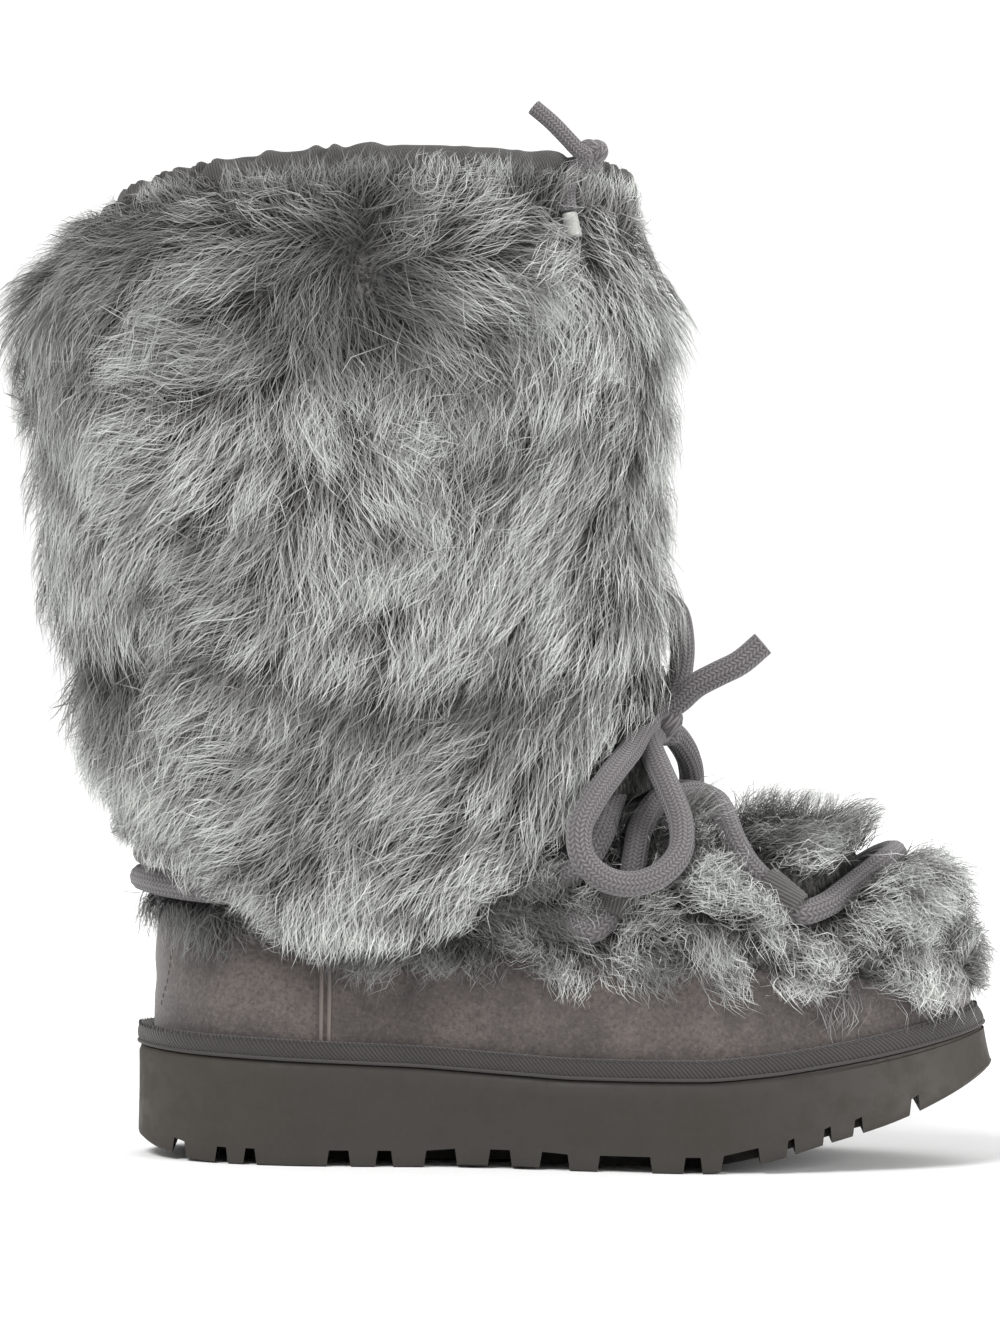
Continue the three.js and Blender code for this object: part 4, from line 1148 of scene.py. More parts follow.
def make_stage():
    settings = bpy.context.scene.boot_stage
    back = Vector((0, -math.cos(settings.elevation), math.sin(settings.elevation)))
    right = Vector((1, 0, 0))
    up = back.cross(right)
    aim = Vector((settings.aim_x, 0, settings.aim_z))
    turn = Matrix((right, up, back)).transposed().to_4x4()
    camera = bpy.data.objects.new("camera", bpy.data.cameras.new("camera"))
    camera.data.lens = settings.lens
    stand = Matrix.Translation(aim + back * settings.distance)
    camera.matrix_world = stand @ turn @ Matrix.Rotation(settings.roll, 4, "Z")
    bpy.context.scene.collection.objects.link(camera)
    bpy.context.scene.camera = camera
    bpy.context.scene.view_settings.view_transform = "Standard"

    world = bpy.data.worlds.new("studio")
    world.use_nodes = True
    shade = Shade(world.node_tree)
    seen = shade.node("ShaderNodeLightPath").outputs["Is Camera Ray"]
    sky = world.node_tree.nodes["Background"].inputs
    sky["Color"].default_value = (1, 1, 1, 1)
    shade.wire(shade.math("ADD", shade.math("MULTIPLY", seen, SKY_SEEN), SKY_STRENGTH), sky["Strength"])
    bpy.context.scene.world = world
    sun = bpy.data.objects.new("sun", bpy.data.lights.new("sun", "SUN"))
    sun.data.energy = SUN_STRENGTH
    sun.data.angle = math.radians(SUN_SPREAD)
    sun.rotation_euler = Vector(SUN_WAY).to_track_quat("-Z", "Y").to_euler()
    bpy.context.scene.collection.objects.link(sun)
    for name, (place, size, power) in LAMPS.items():
        light = bpy.data.objects.new(name, bpy.data.lights.new(name, "AREA"))
        light.data.size = size
        light.data.energy = power
        light.location = place
        light.rotation_euler = (aim - Vector(place)).to_track_quat("-Z", "Y").to_euler()
        bpy.context.scene.collection.objects.link(light)

    corners = FLOOR_HALF * np.array([(-1, -1, 0), (1, -1, 0), (1, 1, 0), (-1, 1, 0)])
    floor = mesh_piece("floor", corners, np.array([[0, 1, 2, 3]]))
    material, shade, surface = new_material("pale_floor", Roughness=0.9)
    grain = shade.noise(object_place(shade), 60, 2)
    shade.wire(shade.mix(grain, (0.93, 0.93, 0.93), (0.97, 0.97, 0.97)), surface["Base Color"])
    floor.data.materials.append(material)


def free_cord(name, points, radius, nodes, relief):
    """A cord: a braided tube whose start is where it leaves its knot."""
    line = curve_through(points, FREE_CORD_STEP)
    piece = rope_piece(name, [line], radius, braid_for(radius), sides=24, relief=relief)
    finish_piece(piece, None, nodes)
    ROPES[name] = line


# Each braid's name, columns and pitch in millimetres, by its rope's radius.
BRAIDS = {LACE_RADIUS: ("lace_braid", 16.0, 1.5), DRAWCORD_RADIUS: ("drawcord_braid", 12.0, 1.2)}


def braid_for(radius):
    name, columns, pitch = BRAIDS[radius]
    return bpy.data.materials.get(name) or braid_material(name, columns, pitch)


def make_cords():
    turns = [knot_line(KNOT_AT, KNOT_SIZE, LACE_RADIUS)]
    knot = rope_piece("bow_knot", turns, LACE_RADIUS, braid_for(LACE_RADIUS), True)
    finish_piece(knot, None, ["lace_knot"])
    for side in BOW_LOOPS:
        nodes = [f"lace_bow_{side}", f"lace_end_{side}"]
        free_cord(f"bow_cord_{side}", bow_route(side), LACE_RADIUS, nodes, LACE_RELIEF)
    turns = [knot_line(DRAWCORD_KNOT, DRAWCORD_KNOT_SIZE, DRAWCORD_RADIUS)]
    braid = braid_for(DRAWCORD_RADIUS)
    small_knot = rope_piece("drawcord_knot_turns", turns, DRAWCORD_RADIUS, braid, True, 20, DRAWCORD_RELIEF)
    finish_piece(small_knot, None, ["drawcord_knot"])
    tip = make_drawcord_tip()
    route = [*DRAWCORD_UPPER[::-1], *DRAWCORD_TURN, *DRAWCORD_LOWER]
    nodes = ["drawcord_end_upper", "drawcord_end_lower"]
    free_cord("drawcord", route, DRAWCORD_RADIUS, nodes, DRAWCORD_RELIEF)


def pipe_rings(start, stop, profile, side_way, around=40):
    """Rings round the line from start to stop, each at a share of the way along it and with a radius."""
    axis = unit(stop - start)
    across = unit(np.cross(axis, side_way))
    other = np.cross(axis, across)
    turn = np.linspace(0, 2 * np.pi, around, endpoint=False)[:, None]
    wheel = np.cos(turn) * across + np.sin(turn) * other
    return [mix(start, stop, share) + radius * wheel for share, radius in profile]


def make_drawcord_tip():
    """A moulded end that flares a little to a flat foot."""
    start, stop = (np.array(end, float) for end in DRAWCORD_TIP)
    middle = 1e-2  # the radius at which its flat ends close
    profile = [
        (0, middle), (0, 2.2), (0.02, 2.45), (0.1, 2.55), (0.5, 2.6), (0.8, 2.75), (0.92, 2.8), (1, 2.55),
        (1, middle),
    ]
    tip = ring_piece("drawcord_tip_moulded", pipe_rings(start, stop, profile, [0, 1, 0]))
    face_outwards(tip)
    return finish_piece(tip, tip_material(), ["drawcord_tip"])


def face_outwards(piece):
    """Merges what touches and turns a closed mesh's faces out."""
    work = bmesh.new()
    work.from_mesh(piece.data)
    bmesh.ops.remove_doubles(work, verts=work.verts, dist=1e-6)
    bmesh.ops.recalc_face_normals(work, faces=work.faces)
    work.to_mesh(piece.data)
    work.free()


def make_lacing():
    lines = {name: curve_through(lace_route(name), LACE_STEP) for name in SIDES}
    for name, line in lines.items():
        ROPES["lacing_" + name] = line
    piece = rope_piece("lacing_braided", list(lines.values()), LACE_RADIUS, braid_for(LACE_RADIUS), sides=24)
    finish_piece(piece, None, ["lacing"])


# ---------------------------------------------------------------------- sole and tape
def around_places(count):
    return np.arange(count) / count


def cap_rings(rings, around, top):
    """Strips that close a stack of rings at its first (top False) or last ring."""
    base = (rings - 1) * around if top else 0
    quads = []
    for i in range(around // 2):
        corners = [base + i, base + i + 1, base + (around - i - 1) % around, base + (around - i) % around]
        quads.append(corners if top else corners[::-1])
    return quads


def stack_piece(name, rings):
    rings = np.asarray(rings)
    count, around = rings.shape[:2]
    quads = ring_faces(count, around, closed=False).tolist()
    quads += cap_rings(count, around, True) + cap_rings(count, around, False)
    full = np.array([q for q in quads if len(set(q)) == 4])
    ends = [np.array([list(dict.fromkeys(q))]) for q in quads if len(set(q)) == 3]
    return mesh_piece(name, placed(rings.reshape(-1, 3)), [full, *ends])


# Tread grooves: start and end in x, and whether they cross the whole sole.
GROOVES = [
    (12.5, 17.5, True), (27, 31.5, True), (36.5, 41, False), (64, 72, False), (80, 86, False),
    (96, 107, False), (117, 125, False), (134, 144, False), (153, 171, False), (181, 187.5, False),
    (193.5, 206.5, False), (215, 218, False), (227, 230, False), (237, 240.5, False), (256, 259.5, True),
]
GROOVE_DEEP = 5.5
GROOVE_REACH = 24
CHANNEL_FROM, CHANNEL_TO, CHANNEL_Y, CHANNEL_WIDE, CHANNEL_DEEP = 44, 244, 13, 4, 4
CENTRE_GROOVES = [76, 92, 112, 132, 178, 198, 212, 226]
CENTRE_GROOVE_WIDE = 4


def prism(outline_xz, y_from, y_to):
    """A closed bar with an outline in x and z, anticlockwise from the lateral side."""
    outline_xz = np.array(outline_xz, float)
    n = len(outline_xz)
    points = np.concatenate([np.insert(outline_xz, 1, y, axis=1) for y in (y_from, y_to)])
    sides = np.array([[i, (i + 1) % n, n + (i + 1) % n, n + i] for i in range(n)])[:, ::-1]
    return points, [sides, np.array([list(range(n))]), np.array([list(range(2 * n - 1, n - 1, -1))])]


def groove_outline(start, stop, deep):
    narrow = min(0.8, (stop - start) / 6)
    low = [float(SOLE_SIDE("tread", x)) for x in (start, stop)]
    return [
        (start, low[0] - 8), (stop, low[1] - 8), (stop, low[1]), (stop - narrow, low[1] + deep),
        (start + narrow, low[0] + deep), (start, low[0]),
    ]


def tread_cutters():
    """The cutters in sets whose members don't touch each other."""
    beyond = 70
    across, centre = [], []
    for start, stop, through in GROOVES:
        shape = groove_outline(start, stop, GROOVE_DEEP)
        if through:
            across.append(prism(shape, -beyond, beyond))
            continue
        share = (start + stop) / 2 / SOLE_LENGTH
        u = math.acos(1 - 2 * share) / (2 * math.pi)
        across.append(prism(shape, -beyond, float(outline(u)[1]) + GROOVE_REACH))
        across.append(prism(shape, float(outline(1 - u)[1]) - GROOVE_REACH, beyond))
    for x in CENTRE_GROOVES:
        centre.append(prism(groove_outline(x, x + CENTRE_GROOVE_WIDE, CHANNEL_DEEP), -CHANNEL_Y, CHANNEL_Y))
    along = np.linspace(CHANNEL_TO, CHANNEL_FROM, 24)
    roof = [(x, float(SOLE_SIDE("tread", x)) + CHANNEL_DEEP) for x in along]
    shape = [(CHANNEL_FROM, -10), (CHANNEL_TO, -10), *roof]
    half = CHANNEL_WIDE / 2
    channels = [prism(shape, y - half, y + half) for y in (CHANNEL_Y, -CHANNEL_Y)]
    return {"across": across, "centre": centre, "channels": channels}


TOE_FLARE = 3.0  # how far in from its tread the sole's top stands at the toe


def toe_lean(u):
    return TOE_FLARE * front_share(u) ** 6


def make_sole():
    around = 240
    u = around_places(around)
    edge = 1.4
    lean = toe_lean(u)
    rows = [(edge, 0, 0), (edge * 0.35, 0, 0.35), (0.2, 0, 1.0)]
    rings = []

    def ring(inset, height):
        line = outline(u, inset)
        return np.concatenate([line, height(line[:, 0])[:, None]], -1)

    def part_way(share):
        return lambda x: mix(SOLE_SIDE("tread", x), SOLE_SIDE("top", x), share)

    for inset, share, rise in rows:
        rings.append(ring(inset + lean * share, lambda x, r=rise: SOLE_SIDE("tread", x) + edge * r))
    for share in np.linspace(0.12, 0.92, 7):
        belly = 0.2 + 0.35 * np.sin(np.pi * share)
        rings.append(ring(belly * 0.6 + lean * share, part_way(share)))
    for inset, drop in ((0.6, 1.0), (0.85, 0.35), (edge, 0)):
        rings.append(ring(inset + lean, lambda x, d=drop: SOLE_SIDE("top", x) - edge * d))
    sole = stack_piece("sole_blank", rings)
    for name, bars in tread_cutters().items():
        points, faces, start = [], [], 0
        for bar_points, bar_faces in bars:
            points.append(bar_points)
            faces += [f + start for f in bar_faces]
            start += len(bar_points)
        cutter = mesh_piece("cutter_" + name, placed(np.concatenate(points)), faces, False)
        face_outwards(cutter)
        cut = sole.modifiers.new(name, "BOOLEAN")
        cut.operation, cut.solver, cut.object = "DIFFERENCE", "EXACT", cutter
    sole = evaluated(sole, "sole_lugged")
    for name in tread_cutters():
        bpy.data.objects.remove(bpy.data.objects["cutter_" + name])
    sole.data.set_sharp_from_angle(angle=math.radians(32))
    finish_piece(sole, sole_material(), ["outsole"])


def strip_weave(piece, rings, row):
    """The weave attribute of a strip of closed rings.

    It holds the millimetres across the strip and those along one of its rows, at each face's corners.
    """
    rings = np.asarray(rings)
    count, around = rings.shape[:2]
    across = run_along(rings[:, 0])
    run = run_along(np.concatenate([rings[row], rings[row][:1]]))
    j, i = np.meshgrid(np.arange(count), np.arange(around), indexing="ij")
    up = (j + 1) % count
    corners = []
    for at, column in ((j, i), (j, i + 1), (up, i + 1), (up, i)):
        corners.append(np.stack([across[at], run[column], np.zeros(j.shape)], -1))
    write_attribute(piece, "weave", "FLOAT_VECTOR", np.stack(corners, 2).reshape(-1, 3), "CORNER")


def tape_point(u, out, up):
    """A line along the tape, some way out from its face and up it; it leans in at the toe."""
    edge = outline(u, 0.1 + toe_lean(u))
    foot = SOLE_SIDE("top", edge[:, 0])
    inner = off_last(np.zeros(len(u)), u, GAP)
    outward = unit(edge - inner[:, :2])
    lean = 0.5 * (front_share(u) ** 8 * max(up - 1.5, 0))[:, None]
    return np.concatenate([edge + outward * (out - lean), (foot + up)[:, None]], -1)


def make_tape():
    around = 480
    u = around_places(around)
    profile = [
        (-1.6, GAP), (-0.7, GAP + 0.1), (-0.1, 0.9), (0.25, 1.8), (0.5, 2.8), (0.55, 3.8),
        (0.45, 4.8), (0.15, 5.8), (-0.35, 6.6), (-1.0, 7.05), (-1.7, TAPE_HEIGHT),
    ]
    rings = [tape_point(u, out, up) for out, up in profile]
    inner = [off_last(np.full(around, level), u, GAP) for level in (0.55, 0.28, 0)]
    inner[2][:, 2] = SOLE_SIDE("top", inner[2][:, 0]) + GAP
    rings += inner
    piece = ring_piece("tape_webbing", rings)
    strip_weave(piece, rings, 5)
    base = tuple(colours().tape)
    finish_piece(piece, webbing_material("tape_twill", base, 1.5, 0.9, 0.0005), ["welt_tape"])

    fine = around_places(1200)
    thread = thread_material("tape_thread", tuple(v * 1.25 for v in base))
    upper = stitch_piece("tape_stitches", [tape_point(fine, 0.0, 6.55)], thread, 2.4, 1.7, 0.3, 1.2, True)
    finish_piece(upper, None)
    rib = rope_piece("tape_bead", [tape_point(around_places(600), 0.15, 0.75)], 0.55, thread, True, 8, 0.0)
    finish_piece(rib, None)


# ---------------------------------------------------------------------- suede foot
def crease(at, centre, wide, deep):
    return -deep * np.exp(-(((at - centre) / wide) ** 2))


# Folds across the vamp: how far each leans back with height, its place along the foot, width and depth.
FOLDS = [(0.5, 148, 7, 0.9), (-0.35, 176, 6, 0.7), (0.2, 232, 8, 0.6)]


def suede_shape(point, level):
    """How far the suede stands off the last: soft troughs and swells, given one by one."""
    x, y, z = point[..., 0], point[..., 1], point[..., 2]
    low = 1 - smooth(4.2, 5.2, level)
    soft = 0.35 * np.sin(x / 17 + z / 9) + 0.3 * np.sin(x / 11 - y / 23 + 1.7) + 0.2 * np.sin(z / 5 + x / 31)
    folds = sum(crease(x + z * lean, at, wide, deep) for lean, at, wide, deep in FOLDS)
    heel = crease(z, 58 + 3 * np.sin(x / 13), 4.5, 0.6) * (1 - smooth(40, 70, x))
    return (soft * 0.7 + folds + heel - 0.45) * low * smooth(0, 0.6, level)


def suede_point(level, u):
    level, u = np.broadcast_arrays(np.asarray(level, float), np.asarray(u, float))
    point = last(level, u)
    return point + last_normal(level, u) * suede_shape(point, level)[..., None]


def line_inside(piece, rings, first):
    """Gives the wool lining to a ring piece's faces from one ring to the last but one."""
    inside = np.zeros(np.shape(rings)[:2], np.int32)
    inside[first:-1] = 1
    piece.data.materials.append(lining_material())
    piece.data.polygons.foreach_set("material_index", inside.ravel())


def make_upper():
    around = 420
    u = around_places(around)
    outer = np.concatenate([np.linspace(0, 4.6, 26), np.linspace(5, JOINT, 9)])
    inner = np.linspace(JOINT, 0, 14)
    rings = [suede_point(level, u) for level in outer]
    rings += [off_last(np.full(around, level), u, -UPPER_WALL) for level in inner]
    for ring in (rings[0], rings[-1]):
        ring[:, 2] = SOLE_SIDE("top", ring[:, 0]) + GAP
    piece = ring_piece("upper_suede", rings)
    finish_piece(piece, suede_material(), ["upper"])
    line_inside(piece, rings, len(outer))

    seams, stitches = [], []
    full_height, strip_height = np.linspace(0.35, 4.4, 60), np.linspace(1.3, 3.4, 40)
    for side in SIDES.values():
        seams += [seam_line(full_height, x_seam, 0, side) for x_seam in (64.2, 61.6)]
        stitches.append(seam_line(full_height, 59.4, 0, side))
        stitches.append(seam_line(strip_height, 9.5, 0.22, side))
    welt = rope_piece("heel_seams", seams, 0.75, bpy.data.materials["suede"], sides=10, relief=0.0)
    finish_piece(welt, None)
    thread = thread_material("suede_thread", srgb(96, 86, 84))
    sewn = stitch_piece("heel_stitches", stitches, thread, 2.6, 2.0, 0.28, 0.1)
    finish_piece(sewn, None)


def seam_line(levels, x_seam, lean, side):
    """A line up the suede at some x, leaning with height."""
    low, high = np.full(len(levels), 0.0), np.full(len(levels), 0.5)
    for _ in range(24):
        middle = (low + high) / 2
        point = last(levels, middle if side > 0 else 1 - middle)
        behind = point[:, 0] < x_seam + lean * (point[:, 2] - 60)
        low, high = np.where(behind, middle, low), np.where(behind, high, middle)
    place = low if side > 0 else 1 - low
    point = suede_point(levels, place)
    return point + last_normal(levels, place) * 0.1


def make_insole():
    around = 160
    u = around_places(around)

    def ring(inset, up):
        point = off_last(np.full(around, 0.02), u, -(UPPER_WALL + GAP + inset))
        point[:, 2] = SOLE_SIDE("top", point[:, 0]) + up
        return point

    rows = [(0.6, GAP), (0.1, 0.8), (0, 1.4), (0, 5.4), (0.35, 6.4), (1.2, 6.9), (2.2, 7)]
    piece = stack_piece("insole_wool", [ring(inset, up) for inset, up in rows])
    finish_piece(piece, lining_material(), ["insole"])


# ---------------------------------------------------------------------- collar and sleeves
def make_collar():
    around, ruffles = 1008, 40
    u = around_places(around)
    foot, rim = last(CASING_FOOT, u), last(COLLAR, u)
    out = flat_normal(np.full(around, COLLAR - 0.3), u)
    middle = (foot + rim) / 2
    turn = u * ruffles + 0.35 * np.sin(2 * np.pi * u * 9) + 0.2 * np.sin(2 * np.pi * u * 23)
    gather = 0.5 + 0.5 * np.cos(2 * np.pi * turn)
    panel = smooth(0.245, 0.262, u) * (1 - smooth(0.355, 0.372, u))
    gather = gather * (1 - 0.85 * panel)

    def ring(base, away, up, ruffle):
        """A ring some way out from a line round the last and up from it, with its depth of ruffle."""
        point = base + out * (away + ruffle * (gather - 0.5))[:, None]
        point[:, 2] = base[:, 2] + up + 0.9 * ruffle * (gather - 0.5)
        return point

    low, lower, upper, high = (mix(foot, rim, share) for share in (0.2, 0.35, 0.65, 0.8))
    rows = [
        (foot, 0.6, -0.8, 0.3), (foot, 1.5, 1.0, 0.5), (low, 2.0, 0, 0.9), (lower, 2.5, 0, 1.3),
        (middle, 2.7, 0, 1.6), (upper, 2.7, 0, 1.8), (high, 2.5, 0, 1.9), (rim, 2.1, -1.5, 1.9),
        (rim, 1.3, -0.4, 1.7), (rim, 0.2, 0, 1.5), (rim, -1.2, -0.3, 1.5), (rim, -2.3, -1.5, 1.5),
        (high, -2.9, 0, 1.4), (middle, -3.1, 0, 1.1), (low, -2.9, 0, 0.6), (foot, -2.7, -0.8, 0.3),
    ]
    rings = [ring(*row) for row in rows]
    piece = ring_piece("collar_ruffles", rings)
    strip_weave(piece, rings, 5)
    twill = webbing_material("collar_twill", tuple(colours().twill), 1.0, 0.8, 0.0004)
    finish_piece(piece, twill, ["collar_casing"])
    thread = thread_material("collar_thread", srgb(70, 69, 69))
    line = ring(mix(foot, rim, 0.28), 2.45, 0, 1.1)
    sewn = stitch_piece("collar_stitches", [line], thread, 2.6, 1.9, 0.25, 0.0, True)
    finish_piece(sewn, None)


def make_sleeves():
    base = tuple(v * 1.25 for v in colours().twill)
    material = webbing_material("sleeve_webbing", base, 1.3, 0.25, 0.0005)
    inner, edge, outer, rib = 4.9, 5.7, 6.05, 0.14
    profile = [(0, inner), (0, edge), (0.04, outer)]
    profile += [(t, outer + rib * (i % 2)) for i, t in enumerate(np.linspace(0.1, 0.9, 13))]
    profile += [(0.96, outer), (1, edge), (1, inner), (0.5, inner - 0.05)]
    for place, rows in SLEEVE_ENDS.items():
        for side_name, side in SIDES.items():
            start, stop = beside(rows, side)
            rings = pipe_rings(start, stop, profile, [0, 0, 1])
            name = f"lace_sleeve_{place}_{side_name}"
            piece = ring_piece("webbing_" + name, rings)
            strip_weave(piece, rings, 4)
            face_outwards(piece)
            finish_piece(piece, material, [name])


# ---------------------------------------------------------------------- fur
# Creases where one tier of the coat lies over the next, on the sides, darkened with painted shade: x and z of
# each line's points.
TIERS = [
    [(178, 184), (150, 178), (120, 169), (95, 166), (60, 172), (30, 182), (-30, 178)],
    [(156, 266), (140, 258), (120, 249)],
    [(74, 109), (90, 121), (112, 127)],
    [(-20, 132), (10, 128), (36, 118)],
]
# A patch of painted shade high on the back of the shaft.
SHADE_PATCH = (76, 293, 13, 24)  # centre and half sizes in x and z


def tier_height(x, z):
    """How far above the nearest crease a place is, or below it (negative); more past a crease's ends."""
    above = np.full(np.shape(x), 99.0)
    for line in TIERS:
        points = np.array(line, float)
        order = np.argsort(points[:, 0])
        points = points[order]
        gap = z - np.interp(x, points[:, 0], points[:, 1])
        back, front = points[0, 0], points[-1, 0]
        reach = smooth(back - 12, back + 4, x) * (1 - smooth(front - 4, front + 12, x))
        gap = np.where(reach > 0.05, gap / np.maximum(reach, 0.05), 99)
        above = np.where(np.abs(gap) < np.abs(above), gap, above)
    return above


def tier_lift(x, z):
    """Swell above a crease and trough below it, in millimetres."""
    above = tier_height(x, z)
    swell = 1.8 * np.exp(-(((above - 9) / 8) ** 2))
    trough = -3.6 * np.exp(-(((above + 6) / 6) ** 2))
    return swell + trough


# Painted shade in the creases between tiers and in the patch high on the back.
def tier_shade(x, z):
    above = tier_height(x, z)
    crease_shade = np.exp(-(((above + 6) / 7) ** 2))
    cx, cz, wide, high = SHADE_PATCH
    patch = np.exp(-(((x - cx) / wide) ** 2) - ((z - cz) / high) ** 2)
    return np.clip(crease_shade * 0.8 + patch * 0.6, 0, 1)


def swirl(point, seed, size):
    """A smooth field between -1 and 1 over space, from a few waves."""
    rng = np.random.default_rng(seed)
    total = np.zeros(point.shape[:-1])
    for _ in range(5):
        way = rng.normal(size=3)
        way /= np.linalg.norm(way) * size
        total += np.sin(point @ way * 2 * np.pi + rng.random() * 6.28)
    return total / 2.6


WHORL = (60, 300)  # x and z of the place that the shaft's coat lies away from


def turned(way, angle):
    """Flat ways turned by angles."""
    cos, sin = np.cos(angle), np.sin(angle)
    return np.stack([way[:, 0] * cos - way[:, 1] * sin, way[:, 0] * sin + way[:, 1] * cos], -1)


def shaft_nap(point, rng):
    """The way the coat lies on the shaft: out from the whorl, down, and up at the collar."""
    x, z = point[:, 0], point[:, 2]
    away = np.stack([x - WHORL[0], z - WHORL[1]], -1)
    radius = np.linalg.norm(away, axis=1)
    near = ((1 - smooth(30, 115, radius)) * smooth(3, 26, radius))[:, None]
    lean = -0.5 + 0.55 * swirl(point, 3, 85)
    down = unit(np.stack([lean, np.full(len(x), -1.0)], -1))
    bend = 0.42 * swirl(point, 5, 46) + 0.22 * swirl(point, 6, 19)
    flow = unit(mix(down, unit(away), near * 0.72))
    flow = turned(flow, bend * (1 + near[:, 0]))
    top = smooth(298, 318, z)[:, None]
    upward = np.stack([(x - WHORL[0]) / 70, np.full(len(x), 0.75)], -1)
    flow = mix(flow, turned(unit(upward), bend * 1.5), top)
    flow = unit(flow + rng.normal(size=(len(x), 2)) * (0.14 + 0.25 * near))
    return np.stack([flow[:, 0], np.zeros(len(x)), flow[:, 1]], -1)


def foot_nap(point, rng):
    """The way the coat lies on the foot: forwards and down, in separate curls."""
    x = point[:, 0]
    turn = swirl(point, 8, 34) * 1.5 + rng.normal(size=len(x)) * 0.25
    base = mix(-1.7, -0.75, smooth(120, 250, x))
    angle = base + turn * 0.8
    side = np.sign(point[:, 1]) * np.where(x > 200, 0.45, 0.2)
    return unit(np.stack([np.cos(angle), side, np.sin(angle)], -1))


SHAFT_STATIONS = np.array([0, 0.38, 0.72, 1.0])  # along a strand
FOOT_STATIONS = np.array([0, 0.28, 0.52, 0.77, 1.0])


def strand_widths(stations):
    """A strand's width at each station but its tip, which is a point, as shares of its widest."""
    return np.interp(stations[:-1], [0, 0.38, 0.72], [0.7, 1.0, 0.72])


TUFT_LENGTHS = (0.78, 1.25)  # shortest and longest, as shares of the coat's length
STRAND_LENGTHS = (0.72, 1.12)  # and as shares of the tuft's
LOCKS = 4  # the points of a tuft that its strands' tips are drawn to
STRAYS = 0.16  # the share of strands that stand loose of their tuft


